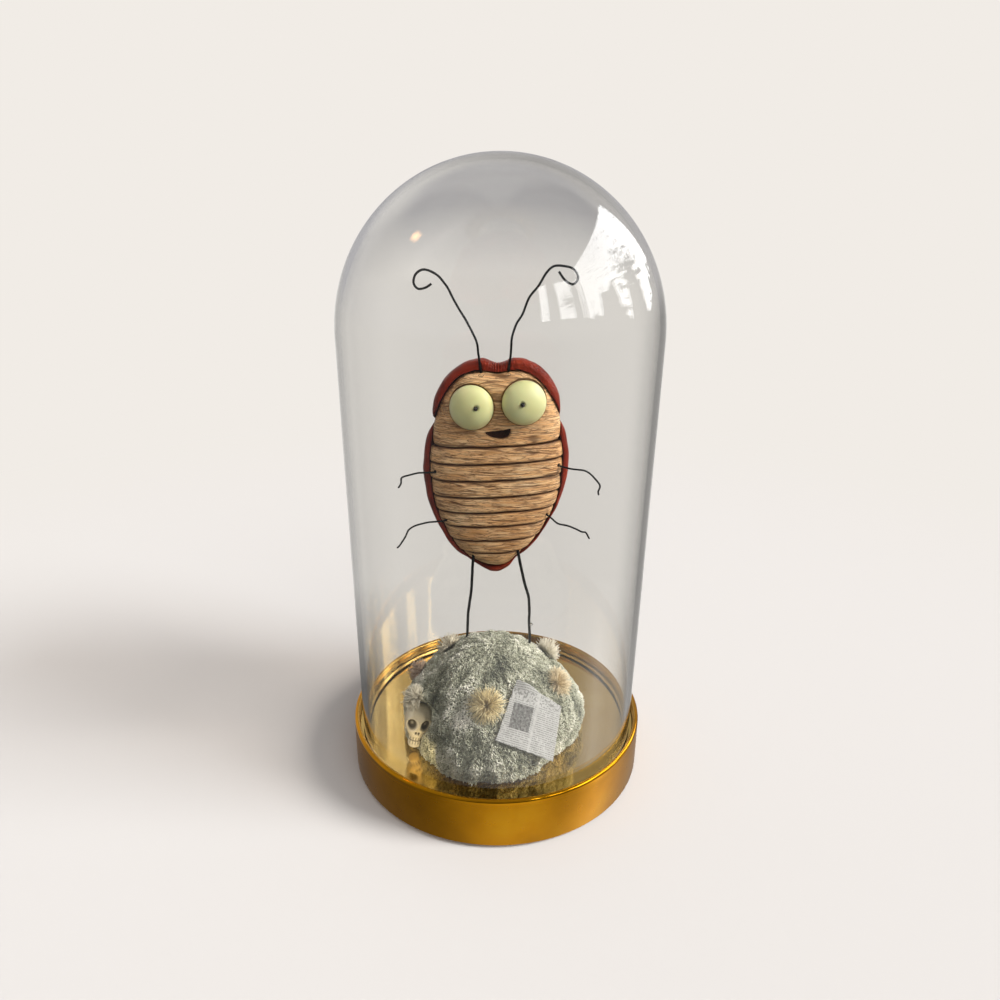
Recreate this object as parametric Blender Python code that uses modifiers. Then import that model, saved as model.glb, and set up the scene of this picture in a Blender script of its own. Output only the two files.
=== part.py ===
"""A clay and wire beetle on a flocked mound, under a glass dome on a brass tray.

The frame is in metres with +Z up. The origin is the middle of the underside,
and the beetle faces -Y. Hand made outlines are given in millimetres, as
stations that name a height and the left and right edges there.
"""

import math

import bmesh
import bpy
from mathutils import Matrix, Vector, noise

MM = 0.001
GAP = 0.3 * MM

# Brass tray, spun from sheet, with a felt disc glued under its turned hem
TRAY_RADIUS = 70 * MM
TRAY_HEIGHT = 25 * MM
TRAY_FLOOR_Z = 19 * MM
TRAY_SHEET = 1.5 * MM
TRAY_RIM = 2.4 * MM
TRAY_FILLET = 1.4 * MM
TRAY_HEM = 6 * MM
TRAY_HEM_EDGE = 0.8 * MM
HEM_OVER_FELT = 0.4 * MM
FELT_THICKNESS = 1.0 * MM
FELT_INSET = 2.5 * MM
ROUND_STEPS = 36

# Glass dome, blown with a slight flare from the foot to the shoulder
DOME_TOP_Z = 273.5 * MM
DOME_SHOULDER_Z = 205 * MM
DOME_SHOULDER_RADIUS = 67.6 * MM
DOME_FOOT_RADIUS = 65.9 * MM
GLASS_WALL = 2.4 * MM

# Mound of rock covered in flock, pressed flat under the paper
MOUND_CENTRE = Vector((-2, -12, 27)) * MM
MOUND_RADII = Vector((43, 43, 37)) * MM
MOUND_GRAIN = 1.0 * MM
MOUND_GRAIN_SIZE = 14 * MM
# Each lobe of the mound: direction, height and how sharply it falls away
MOUND_LOBES = (
    (Vector((-0.95, 0.30, -0.10)), -0.5 * MM, 6.0),
    (Vector((1.00, 0.20, -0.05)), 2.0 * MM, 6.0),
    (Vector((0.75, -0.66, -0.15)), -6.0 * MM, 5.0),
    (Vector((-0.78, -0.60, 0.00)), -3.5 * MM, 6.0),
    (Vector((-0.66, 0.10, 0.74)), -4.5 * MM, 6.0),
    (Vector((0.62, 0.20, 0.76)), -3.0 * MM, 6.0),
)

# Clay figure: the flat face where the tan body meets the red shell
BACK_Y = 6 * MM
BODY_DEPTH = 12 * MM
BODY_FALL = 0.6
SHELL_DEPTH = 10 * MM
SHELL_LIP = 3.2 * MM
SHIELD_DEPTH = 11 * MM
SHIELD_LIP = 4.6 * MM
SEAM_WIDTH = 1.2 * MM
SEAM_DEPTH = 0.8 * MM
SECTION_FULLNESS = 2.3
BODY_WIDEST = 29.7 * MM
HEAD_STATIONS = (
    (157.6, -28.9, 26.1), (160.0, -29.6, 26.8), (165.0, -29.3, 26.9), (171.0, -28.0, 25.9),
    (178.0, -24.9, 22.3), (184.0, -20.6, 17.6), (187.6, -16.2, 13.0), (189.6, -10.5, 7.4),
)
BELLY_STATIONS = (
    (97.6, -3.6, 1.2), (99.6, -8.4, 5.2), (104.5, -15.8, 10.4), (111.0, -20.9, 16.8),
    (118.0, -24.6, 21.5), (125.3, -27.6, 24.9), (133.0, -29.6, 27.1), (141.0, -30.6, 28.1),
    (150.0, -31.0, 28.4), (157.6, -30.5, 27.9),
)
WING_STATIONS = (
    (93.9, -3.6, 0.8), (96.4, -7.8, 5.0), (100.6, -14.0, 8.4), (105.2, -20.0, 13.9),
    (112.0, -24.9, 19.4), (120.4, -29.0, 24.3), (129.0, -32.2, 28.2), (137.4, -33.9, 30.5),
    (145.8, -34.5, 31.5), (154.0, -33.6, 31.0), (161.6, -32.0, 29.5), (167.2, -29.0, 27.0),
)
SHIELD_STATIONS = (
    (167.7, -28.5, 26.2), (169.8, -29.5, 26.9), (173.5, -29.6, 26.9), (178.6, -28.4, 25.8),
    (185.0, -24.9, 22.4), (190.4, -19.2, 17.2), (193.2, -13.4, 11.8), (194.4, -7.6, 6.0),
)
# Heights at which each part of the figure has a section
HEAD_ROWS = (162.5, 167.5, 172.5, 177.5, 182.0, 185.8, 188.2, 189.6)
TIP_ROWS = (97.6, 99.6, 102.2)
HEAD_ROOM_ROWS = (157.2, 159.0) + HEAD_ROWS + (190.2,)
BELLY_ROOM_ROWS = (97.2,) + TIP_ROWS + (105.0, 109.5, 114, 119, 125.3, 133, 141, 150, 158.2)
WING_ROWS = (93.9, 96.4, 100.6, 105.2, 112.0, 120.4, 130, 140, 150, 158.5, 164.5, 167.2)
SHIELD_ROWS = (167.7, 169.8, 175.0, 180.5, 185.8, 190.4, 193.2, 194.4)
CLEARANCE = 1.4 * GAP
TOP_DIP_WIDTH = 5 * MM
HEAD_DIP_FROM_Z = 186 * MM
HEAD_DIP = 1.3 * MM
SHIELD_DIP = 2.2 * MM
SHIELD_DIP_HEIGHT = 9 * MM
LIP_POINTS = 8
DOME_POINTS = 12
# The shell's dome starts and ends this far round from its side edges
DOME_START = 15

# Height of each groove between the clay strips, at the middle of the belly
GROOVE_HEIGHTS = (157.6, 150.0, 142.3, 134.6, 127.2, 120.3, 112.8, 106.0)
STRIP_TILT = math.tan(math.radians(3.2))
LEVELLING_Z = 113 * MM
SHELL_TILT = math.tan(math.radians(1.6))
STRIP_EDGE = 1.0 * MM
SECTION_POINTS = 14
THINNEST_SECTION = Vector((0.8, 0.6)) * MM

# Half balls for eyes, black beads for pupils and a dark carved mouth
EYE_RADIUS = 9.6 * MM
EYE_DOME = 6.2 * MM
EYE_CENTRES = {"left": Vector((-12.0, -4.6, 174.7)) * MM, "right": Vector((10.4, -4.6, 177.0)) * MM}
EYE_MIDDLE_X = (EYE_CENTRES["left"].x + EYE_CENTRES["right"].x) / 2
EYE_TURN = {"left": math.radians(-10), "right": math.radians(10)}
PUPIL_RADIUS = 1.0 * MM
PUPIL_PLACES = {"left": Vector((-9.9, -10.9, 175.6)) * MM, "right": Vector((9.6, -10.9, 177.4)) * MM}
MOUTH_POINTS = ((-6.4, 164.4), (-2.4, 164.8), (1.6, 165.3), (4.9, 165.9), (4.3, 162.6), (1.6, 161.1), (-3.2, 161.6))
MOUTH_FRONT_Y = -4.7 * MM
MOUTH_POCKET_DEPTH = 3 * MM

# Black annealed wires. The first point is in the clay and the second is just outside it.
ANTENNA_WIRE = 0.5 * MM
ARM_WIRE = 0.42 * MM
LEG_WIRE = 0.68 * MM
BORE_CLEARANCE = 0.3 * MM
WIRES = {
    "antenna_left": (ANTENNA_WIRE, (
        (-7.4, 2.6, 182.6), (-8.3, 2.2, 190.2), (-9.2, 1.8, 196.0), (-10.0, 1.5, 201.2), (-13.8, 1.2, 209.1),
        (-19.0, 1.0, 217.7), (-22.1, 1.0, 223.5), (-26.2, 1.0, 228.2), (-31.2, 0.8, 230.2), (-34.6, 0.6, 228.6),
        (-35.8, 0.4, 225.1), (-34.0, 0.2, 222.7), (-31.0, 0.0, 223.1), (-28.4, 0.0, 224.7))),
    "antenna_right": (ANTENNA_WIRE, (
        (2.9, 2.6, 183.2), (3.8, 2.2, 190.8), (4.5, 1.8, 196.6), (4.9, 1.4, 203.0), (6.4, 1.0, 208.4),
        (9.2, 0.8, 213.2), (11.6, 0.6, 219.4), (15.6, 0.4, 224.6), (18.1, 0.2, 229.0), (21.2, 0.0, 232.0),
        (25.2, -0.3, 232.1), (29.4, -0.6, 231.0), (31.3, -1.0, 227.6), (29.2, -1.4, 225.1), (26.0, -1.2, 226.8),
        (23.4, -0.9, 230.0))),
    "arm_upper_left": (ARM_WIRE, (
        (-23.4, 2.2, 144.9), (-29.6, -0.4, 144.4), (-33.5, -1.0, 144.4), (-36.4, -1.2, 144.3), (-39.9, -1.6, 143.4),
        (-43.3, -2.0, 142.2), (-43.7, -2.2, 139.6), (-44.9, -2.4, 137.7))),
    "arm_lower_left": (ARM_WIRE, (
        (-19.6, 2.0, 122.4), (-25.4, -0.6, 121.3), (-31.9, -1.2, 120.8), (-37.1, -1.6, 119.6), (-40.8, -2.0, 117.6),
        (-42.6, -2.2, 114.2), (-45.4, -2.4, 109.7), (-46.6, -2.4, 108.7))),
    "arm_upper_right": (ARM_WIRE, (
        (21.9, 2.2, 148.6), (28.6, -0.2, 147.6), (31.4, -0.8, 147.0), (35.4, -1.2, 146.7), (38.8, -1.6, 146.0),
        (42.1, -2.0, 143.5), (45.1, -2.2, 139.8), (44.5, -2.4, 136.9), (44.8, -2.4, 135.4))),
    "arm_lower_right": (ARM_WIRE, (
        (18.8, 2.2, 126.4), (23.9, -0.4, 123.5), (27.2, -1.0, 120.9), (31.6, -1.2, 120.0), (35.4, -1.6, 118.6),
        (38.2, -1.8, 117.2), (40.0, -1.9, 117.0), (41.2, -2.0, 115.0), (41.7, -2.0, 114.1))),
    "leg_left": (LEG_WIRE, (
        (-11.0, 2.8, 110.4), (-11.8, -0.2, 100.4), (-12.4, 1.2, 88.0), (-13.2, 2.6, 80.4), (-14.3, 4.0, 71.4),
        (-14.8, 5.4, 61.2), (-14.9, 6.0, 52.6))),
    "leg_right": (LEG_WIRE, (
        (8.2, 2.8, 110.8), (10.4, -0.2, 100.2), (12.6, 1.0, 90.0), (14.9, 2.2, 81.4), (15.4, 3.6, 72.8),
        (15.5, 4.4, 66.8), (16.0, 5.2, 57.6), (16.1, 5.6, 49.4))),
}
# Wires are drawn with a point every few radii
WIRE_STRIDE = 7
# The wire's inner end stands this far back from the bottom of its bore
BORE_SPARE = 1.2 * MM
# A foot's bore is this many times as long as the wire's last stretch
FOOT_BORE_REACH = 1.6
BORED_BY = {
    "head": ("antenna_left", "antenna_right"),
    "belly_strip_2": ("arm_upper_left", "arm_upper_right"),
    "belly_strip_5": ("arm_lower_left", "arm_lower_right"),
    "belly_strip_7": ("leg_left", "leg_right"),
    "belly_strip_8": ("leg_left", "leg_right"),
}

# Ivory bead in the shape of a skull, leaning back against the mound.
# Each section: height, half width, front and back, in millimetres.
SKULL_SECTIONS = (
    (0.0, 1.9, -4.4, -0.6), (0.9, 2.8, -5.2, 0.4), (3.0, 3.1, -5.0, 0.8), (4.6, 2.9, -4.6, 1.0),
    (6.0, 3.6, -5.2, 2.0), (8.4, 5.3, -5.5, 4.6), (11.4, 6.3, -5.8, 6.6), (14.6, 6.2, -5.6, 6.8),
    (17.4, 4.8, -4.0, 5.4), (19.2, 2.4, -1.6, 2.9),
)
SKULL_SIDES = 12
SKULL_PLACE = Vector((-37.7, -28.8, 20.3)) * MM
SKULL_LEAN = math.radians(-9)
SKULL_ROLL = math.radians(13)
SKULL_YAW = math.radians(9)
SOCKET_RADII = Vector((2.25, 2.6, 2.75)) * MM
SOCKET_PLACES = (Vector((-3.0, -5.4, 11.4)) * MM, Vector((3.0, -5.4, 11.4)) * MM)
NOSTRIL_RADII = Vector((0.55, 1.0, 0.7)) * MM
NOSTRIL_PLACES = (Vector((-0.65, -5.7, 7.6)) * MM, Vector((0.65, -5.7, 7.6)) * MM)
SKULL_POCKET = 0.8 * MM

# Scrap of newsprint: its middle, the way it faces and the way its top points
PAPER_CENTRE = Vector((15.4, -44.2, 44.4)) * MM
PAPER_NORMAL = Vector((0.40, -0.735, 0.545)).normalized()
PAPER_UP = Vector((0.25, 0.63, 0.73))
# Torn corners of the scrap, across and up from its middle
PAPER_LOW_CORNERS = (Vector((-14.2, -10.8)) * MM, Vector((14.1, -12.3)) * MM)
PAPER_HIGH_CORNERS = (Vector((-11.6, 15.8)) * MM, Vector((12.5, 11.2)) * MM)
PAPER_THICKNESS = 0.35 * MM
PAPER_BEND_RADIUS = 58 * MM
PAPER_CELLS = 4
PRESS_MARGIN = 24 * MM

# Grass tufts: where each one stands, its radius and its height
TUFTS = (
    (Vector((-22.6, 5.0, 51.9)) * MM, 5.6 * MM, 6.6 * MM),
    (Vector((-37.2, -3.0, 42.9)) * MM, 4.8 * MM, 5.6 * MM),
    (Vector((-35.2, -24.2, 43.2)) * MM, 5.2 * MM, 6.2 * MM),
    (Vector((-4.1, -41.8, 51.7)) * MM, 7.2 * MM, 6.4 * MM),
    (Vector((27.2, -22.0, 49.8)) * MM, 6.8 * MM, 6.0 * MM),
    (Vector((24.4, 5.4, 50.0)) * MM, 5.4 * MM, 6.0 * MM),
)
TUFT_BY_SKULL = 3

# Colour, roughness, metallic value and transmission of each finish
FINISHES = {
    "brass": ((0.72, 0.45, 0.10), 0.16, 1.0, 0.0),
    "felt": ((0.02, 0.02, 0.02), 0.95, 0.0, 0.0),
    "glass": ((0.95, 0.97, 0.97), 0.02, 0.0, 1.0),
    "flock": ((0.36, 0.39, 0.31), 0.95, 0.0, 0.0),
    "grass": ((0.55, 0.47, 0.33), 0.80, 0.0, 0.0),
    "ivory": ((0.72, 0.66, 0.54), 0.40, 0.0, 0.0),
    "newsprint": ((0.62, 0.60, 0.58), 0.90, 0.0, 0.0),
    "tan_clay": ((0.62, 0.36, 0.16), 0.50, 0.0, 0.0),
    "red_clay": ((0.33, 0.05, 0.02), 0.30, 0.0, 0.0),
    "mouth": ((0.03, 0.015, 0.01), 0.20, 0.0, 0.0),
    "eye": ((0.62, 0.72, 0.40), 0.30, 0.0, 0.0),
    "pupil": ((0.01, 0.01, 0.01), 0.10, 0.0, 0.0),
    "wire": ((0.015, 0.015, 0.015), 0.35, 0.8, 0.0),
}


def new_collection(name):
    collection = bpy.data.collections.new(name)
    bpy.context.scene.collection.children.link(collection)
    return collection


def material(name, finish):
    """A part's own material, with the values of one of the finishes."""
    colour, roughness, metallic, transmission = FINISHES[finish]
    made = bpy.data.materials.new(name)
    made.use_nodes = True
    shader = made.node_tree.nodes["Principled BSDF"]
    shader.inputs["Base Color"].default_value = (*colour, 1.0)
    shader.inputs["Roughness"].default_value = roughness
    shader.inputs["Metallic"].default_value = metallic
    shader.inputs["Transmission Weight"].default_value = transmission
    return made


def add_object(name, data, collection, finish=None):
    made = bpy.data.objects.new(name, data)
    collection.objects.link(made)
    if finish is not None:
        data.materials.append(material(name, finish))
    return made


def mesh_object(name, bm, collection, finish=None, crease=40):
    """A mesh object from a bmesh, smooth except at edges sharper than the crease."""
    bmesh.ops.recalc_face_normals(bm, faces=bm.faces)
    mesh = bpy.data.meshes.new(name)
    bm.to_mesh(mesh)
    bm.free()
    mesh.shade_smooth()
    mesh.set_sharp_from_angle(angle=math.radians(crease))
    return add_object(name, mesh, collection, finish)


def cutter_object(name, bm):
    made = mesh_object(name, bm, CUTTERS)
    made.hide_render = True
    made.display_type = "WIRE"
    return made


def cut(target, cutter):
    modifier = target.modifiers.new("cut_" + cutter.name, "BOOLEAN")
    modifier.operation = "DIFFERENCE"
    modifier.solver = "EXACT"
    modifier.object = cutter


def arc(centre_r, centre_z, radius_r, radius_z, start, end, steps):
    """Points (r, z) of an elliptical arc, from start to end in degrees."""
    points = []
    for step in range(steps + 1):
        angle = math.radians(start + (end - start) * step / steps)
        points.append((centre_r + radius_r * math.cos(angle), centre_z + radius_z * math.sin(angle)))
    return points


def turned(name, profile, collection, finish):
    """A profile of (r, z) points turned about the Z axis."""
    mesh = bpy.data.meshes.new(name)
    edges = [(index, index + 1) for index in range(len(profile) - 1)]
    mesh.from_pydata([(r, 0, z) for r, z in profile], edges, [])
    made = add_object(name, mesh, collection, finish)
    screw = made.modifiers.new("turn", "SCREW")
    screw.axis = "Z"
    screw.steps = ROUND_STEPS
    screw.render_steps = ROUND_STEPS
    screw.use_merge_vertices = True
    screw.merge_threshold = 0.01 * MM
    screw.use_smooth_shade = True
    return made


def build_tray(collection):
    rim = TRAY_RIM / 2
    inner = TRAY_RADIUS - TRAY_RIM
    hem_z = FELT_THICKNESS + HEM_OVER_FELT
    profile = [(0, TRAY_FLOOR_Z)]
    profile += arc(inner - TRAY_FILLET, TRAY_FLOOR_Z + TRAY_FILLET, TRAY_FILLET, TRAY_FILLET, -90, 0, 3)
    profile += arc(TRAY_RADIUS - rim, TRAY_HEIGHT - rim, rim, rim, 180, 0, 5)
    profile += [
        (TRAY_RADIUS, hem_z + TRAY_HEM_EDGE),
        (TRAY_RADIUS - TRAY_HEM_EDGE, hem_z),
        (TRAY_RADIUS - TRAY_HEM, hem_z),
        (TRAY_RADIUS - TRAY_HEM, hem_z + TRAY_SHEET),
        (TRAY_RADIUS - TRAY_SHEET, hem_z + TRAY_SHEET),
        (TRAY_RADIUS - TRAY_SHEET, TRAY_FLOOR_Z - TRAY_SHEET),
        (0, TRAY_FLOOR_Z - TRAY_SHEET),
    ]
    turned("base_tray", profile, collection, "brass")


def build_felt(collection):
    bm = bmesh.new()
    bmesh.ops.create_cone(
        bm, cap_ends=True, segments=ROUND_STEPS, radius1=TRAY_RADIUS - FELT_INSET,
        radius2=TRAY_RADIUS - FELT_INSET, depth=FELT_THICKNESS,
        matrix=Matrix.Translation((0, 0, FELT_THICKNESS / 2)))
    mesh_object("base_felt", bm, collection, "felt")


def build_dome(collection):
    wall = GLASS_WALL
    cap = DOME_TOP_Z - DOME_SHOULDER_Z
    foot_z = TRAY_FLOOR_Z + GAP + wall / 2
    profile = arc(0, DOME_SHOULDER_Z, DOME_SHOULDER_RADIUS, cap, 90, 0, 8)
    profile += arc(DOME_FOOT_RADIUS - wall / 2, foot_z, wall / 2, wall / 2, 0, -180, 4)
    profile += arc(0, DOME_SHOULDER_Z, DOME_SHOULDER_RADIUS - wall, cap - wall, 0, 90, 8)
    profile[0] = (0, DOME_TOP_Z)
    profile[-1] = (0, DOME_TOP_Z - wall)
    turned("glass_dome", profile, collection, "glass")


def station_edges(stations, height):
    """Left and right edges at a height in metres, on smooth curves through the stations."""
    z = height / MM
    last = len(stations) - 1
    index = 0
    while index < last - 1 and z > stations[index + 1][0]:
        index += 1
    before = stations[max(index - 1, 0)]
    low = stations[index]
    high = stations[index + 1]
    after = stations[min(index + 2, last)]
    span = high[0] - low[0]
    t = min(max((z - low[0]) / span, 0.0), 1.0)
    edges = []
    for side in (1, 2):
        slope_low = (high[side] - before[side]) / (high[0] - before[0]) * span
        slope_high = (after[side] - low[side]) / (after[0] - low[0]) * span
        value = (2 * t**3 - 3 * t**2 + 1) * low[side] + (t**3 - 2 * t**2 + t) * slope_low
        value += (3 * t**2 - 2 * t**3) * high[side] + (t**3 - t**2) * slope_high
        edges.append(value * MM)
    return edges


def body_front(half_width):
    """How far the tan body stands out in front of its flat back."""
    return BODY_DEPTH * (max(half_width, 0.0) / BODY_WIDEST) ** BODY_FALL


def half_section(half_width, depth, points, start=0.0, end=180.0):
    """Points (x, depth) of a full, rounded half section, from one edge to the other."""
    ring = []
    for step in range(points):
        angle = math.radians(start + (end - start) * step / (points - 1))
        c = math.cos(angle)
        s = math.sin(angle)
        x = half_width * math.copysign(abs(c) ** (2 / SECTION_FULLNESS), c)
        ring.append((x, depth * abs(s) ** (2 / SECTION_FULLNESS)))
    return ring


def loft(name, rings, collection, finish=None):
    """A closed solid through rings with equal numbers of points, capped at both ends."""
    bm = bmesh.new()
    loops = [[bm.verts.new(point) for point in ring] for ring in rings]
    count = len(rings[0])
    for low, high in zip(loops, loops[1:]):
        for index in range(count):
            after = (index + 1) % count
            bm.faces.new((low[index], low[after], high[after], high[index]))
    bm.faces.new(loops[0][::-1])
    bm.faces.new(loops[-1])
    if collection is CUTTERS:
        return cutter_object(name, bm)
    return mesh_object(name, bm, collection, finish)


def strip_tilt(height):
    """The grooves rise to the right, and level out towards the tip of the belly."""
    tip = BELLY_STATIONS[0][0] * MM
    return STRIP_TILT * min((height - tip) / (LEVELLING_Z - tip), 1.0)


def body_ring(stations, height, inset=0.0, dip=0.0):
    """One section of the tan body, with a flat back and a rounded front."""
    left, right = station_edges(stations, height)
    tilt = strip_tilt(height)
    centre = (left + right) / 2
    half_width = (right - left) / 2
    depth = max(body_front(half_width) - inset, THINNEST_SECTION.y)
    half_width = max(half_width - inset, THINNEST_SECTION.x)
    back = BACK_Y - min(inset, 0.0)
    ring = []
    for x, front in half_section(half_width, depth, SECTION_POINTS):
        fall = dip * math.exp(-(x / TOP_DIP_WIDTH) ** 2)
        ring.append(Vector((centre + x, back - front, height + x * tilt - fall)))
    return ring


def build_strips(collection):
    """Eight overlapping strips of clay, each with rounded upper and lower edges."""
    lowest = BELLY_STATIONS[0][0]
    ends = list(GROOVE_HEIGHTS) + [lowest]
    for number in range(1, len(ends)):
        top = ends[number - 1] * MM - GAP / 2
        bottom = ends[number] * MM + GAP / 2
        edge = STRIP_EDGE
        heights = [bottom, bottom + edge * 0.9, (top + bottom) / 2, top - edge * 0.9, top]
        insets = [edge, 0.1 * edge, 0.0, 0.25 * edge, edge]
        if number == len(ends) - 1:
            heights[:3] = [z * MM for z in TIP_ROWS]
            insets[:3] = [0.0, 0.0, 0.0]
        rings = []
        for height, inset in zip(heights, insets):
            rings.append(body_ring(BELLY_STATIONS, height, inset))
        name = f"belly_strip_{number}"
        strip = loft(name, rings, collection, "tan_clay")
        for wire in BORED_BY.get(name, ()):
            cut(strip, BORES[wire])


def build_head(collection):
    bottom = GROOVE_HEIGHTS[0] * MM + GAP / 2
    heights = [bottom, bottom + STRIP_EDGE] + [z * MM for z in HEAD_ROWS]
    insets = [STRIP_EDGE, 0.1 * STRIP_EDGE] + [0.0] * len(HEAD_ROWS)
    rings = []
    for height, inset in zip(heights, insets):
        dip = HEAD_DIP if height > HEAD_DIP_FROM_Z else 0.0
        rings.append(body_ring(HEAD_STATIONS, height, inset, dip=dip))
    head = loft("head", rings, collection, "tan_clay")
    for wire in BORED_BY["head"]:
        cut(head, BORES[wire])
    for side in EYE_CENTRES:
        cut(head, eye_ball(f"eye_seat_{side}", side, GAP, CUTTERS))
    cut(head, mouth_solid("mouth_pocket", CLEARANCE, CUTTERS))


def clearance_rings(stations, heights, top_dip=0.0):
    """The tan body grown by the gap all over, to cut the red shell clear of it."""
    rings = []
    for z in heights:
        dip = top_dip if z * MM > HEAD_DIP_FROM_Z else 0.0
        rings.append(body_ring(stations, z * MM, -CLEARANCE, dip=dip))
    return rings


def build_shell(collection):
    """Two red pieces: the wing case and, above it, the shield behind the head."""
    head_room = loft("head_room", clearance_rings(HEAD_STATIONS, HEAD_ROOM_ROWS, HEAD_DIP), CUTTERS)
    belly_room = loft("belly_room", clearance_rings(BELLY_STATIONS, BELLY_ROOM_ROWS), CUTTERS)
    wing_rings = [shell_ring(WING_STATIONS, z * MM, SHELL_LIP, SHELL_DEPTH) for z in WING_ROWS]
    wing = loft("wing_case", wing_rings, collection, "red_clay")
    cut(wing, belly_room)
    cut(wing, head_room)
    shield_rings = []
    for z in SHIELD_ROWS:
        shield_rings.append(shell_ring(SHIELD_STATIONS, z * MM, SHIELD_LIP, SHIELD_DEPTH, dipped=True))
    shield = loft("head_shield", shield_rings, collection, "red_clay")
    cut(shield, head_room)


def shell_ring(stations, height, lip, depth, dipped=False):
    """One section of the red shell: a low lip in front and a dome with a seam behind."""
    left, right = station_edges(stations, height)
    centre = (left + right) / 2
    half_width = (right - left) / 2
    swell = (half_width / BODY_WIDEST) ** BODY_FALL
    top = stations[-1][0] * MM
    points = []
    for x, front in half_section(half_width, lip * swell, LIP_POINTS):
        points.append((x, BACK_Y - front))
    for x, behind in half_section(half_width, depth * swell, DOME_POINTS, 180 - DOME_START, DOME_START):
        seam = 0.0 if dipped else SEAM_DEPTH * math.exp(-(x / SEAM_WIDTH) ** 2)
        points.append((x, BACK_Y + behind - seam))
    ring = []
    for x, y in points:
        fall = 0.0
        if dipped:
            rise = max(0.0, 1 - (top - height) / SHIELD_DIP_HEIGHT)
            fall = SHIELD_DIP * rise * math.exp(-((x + centre - EYE_MIDDLE_X) / TOP_DIP_WIDTH) ** 2)
        ring.append(Vector((centre + x, y, height + x * SHELL_TILT - fall)))
    return ring


def ellipsoid(bm, radii, place, segments, rings, turn=None):
    matrix = Matrix.Translation(place)
    if turn is not None:
        matrix = matrix @ turn
    bmesh.ops.create_uvsphere(
        bm, u_segments=segments, v_segments=rings, radius=1, matrix=matrix @ Matrix.Diagonal((*radii, 1)))


def eye_ball(name, side, grow, collection, finish=None):
    """A flattened ball with its poles facing front and back, half sunk in the head."""
    bm = bmesh.new()
    turn = Matrix.Rotation(EYE_TURN[side], 4, "Z") @ Matrix.Rotation(math.radians(90), 4, "X")
    radius = EYE_RADIUS + grow
    ellipsoid(bm, (radius, radius, EYE_DOME + grow), EYE_CENTRES[side], 16, 6, turn)
    if collection is CUTTERS:
        return cutter_object(name, bm)
    return mesh_object(name, bm, collection, finish)


def build_eyes(collection):
    for side, place in PUPIL_PLACES.items():
        eye = eye_ball(f"eye_{side}", side, 0.0, collection, "eye")
        seat = bmesh.new()
        ellipsoid(seat, [PUPIL_RADIUS + GAP] * 3, place, 8, 4)
        cut(eye, cutter_object(f"pupil_seat_{side}", seat))
        pupil = bmesh.new()
        ellipsoid(pupil, [PUPIL_RADIUS] * 3, place, 8, 4)
        mesh_object(f"pupil_{side}", pupil, collection, "pupil")


def mouth_solid(name, grow, collection, finish=None):
    """The lopsided half moon of the mouth, as a plate cut into the head."""
    middle_x = sum(x for x, z in MOUTH_POINTS) / len(MOUTH_POINTS)
    middle_z = sum(z for x, z in MOUTH_POINTS) / len(MOUTH_POINTS)
    front = MOUTH_FRONT_Y if not grow else BACK_Y - BODY_DEPTH - MOUTH_POCKET_DEPTH
    back = MOUTH_FRONT_Y + MOUTH_POCKET_DEPTH - (GAP if not grow else 0)
    rings = []
    for y in (front, back):
        ring = []
        for x, z in MOUTH_POINTS:
            out = Vector((x - middle_x, 0, z - middle_z)).normalized() * grow
            ring.append(Vector((x * MM, y, z * MM)) + out)
        rings.append(ring)
    return loft(name, rings, collection, finish)


def smooth_route(points, spacing):
    """Points along a Catmull-Rom curve, no further apart than the spacing."""
    route = []
    count = len(points)
    for index in range(count - 1):
        before = points[max(index - 1, 0)]
        start = points[index]
        end = points[index + 1]
        after = points[min(index + 2, count - 1)]
        steps = max(1, round((end - start).length / spacing))
        for step in range(steps):
            t = step / steps
            a = 2 * start
            b = (end - before) * t
            c = (2 * before - 5 * start + 4 * end - after) * t**2
            d = (3 * start - before - 3 * end + after) * t**3
            route.append((a + b + c + d) / 2)
    route.append(points[-1])
    return route


def wire_points(name):
    return [Vector(point) * MM for point in WIRES[name][1]]


def build_wires(collection):
    for name in WIRES:
        radius = WIRES[name][0]
        points = wire_points(name)
        route = [points[0]] + smooth_route(points[1:], radius * WIRE_STRIDE)
        curve = bpy.data.curves.new(name, "CURVE")
        curve.dimensions = "3D"
        curve.bevel_depth = radius
        curve.bevel_resolution = 2
        curve.use_fill_caps = True
        spline = curve.splines.new("POLY")
        spline.points.add(len(route) - 1)
        for spot, point in zip(spline.points, route):
            spot.co = (*point, 1)
        add_object(name, curve, collection, "wire")


def bore(name, inner, outer, radius):
    """A round hole from just past the wire's inner end, out through the surface."""
    along = (outer - inner).normalized()
    start = inner - along * BORE_SPARE
    length = (outer - start).length
    turn = along.to_track_quat("Z", "Y").to_matrix().to_4x4()
    bm = bmesh.new()
    bmesh.ops.create_cone(
        bm, cap_ends=True, segments=8, radius1=radius, radius2=radius, depth=length,
        matrix=Matrix.Translation((start + outer) / 2) @ turn)
    return cutter_object(name, bm)


def make_bores():
    bores = {}
    for name in WIRES:
        radius = WIRES[name][0]
        points = wire_points(name)
        bores[name] = bore("bore_" + name, points[0], points[1], radius + BORE_CLEARANCE)
        if name.startswith("leg"):
            inner = points[-1]
            outer = inner + (points[-2] - inner) * FOOT_BORE_REACH
            bores["foot_" + name] = bore("bore_foot_" + name, inner, outer, radius + BORE_CLEARANCE * 2)
    return bores


def paper_axes():
    normal = PAPER_NORMAL
    right = PAPER_UP.cross(normal).normalized()
    return right, normal.cross(right), normal


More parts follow.
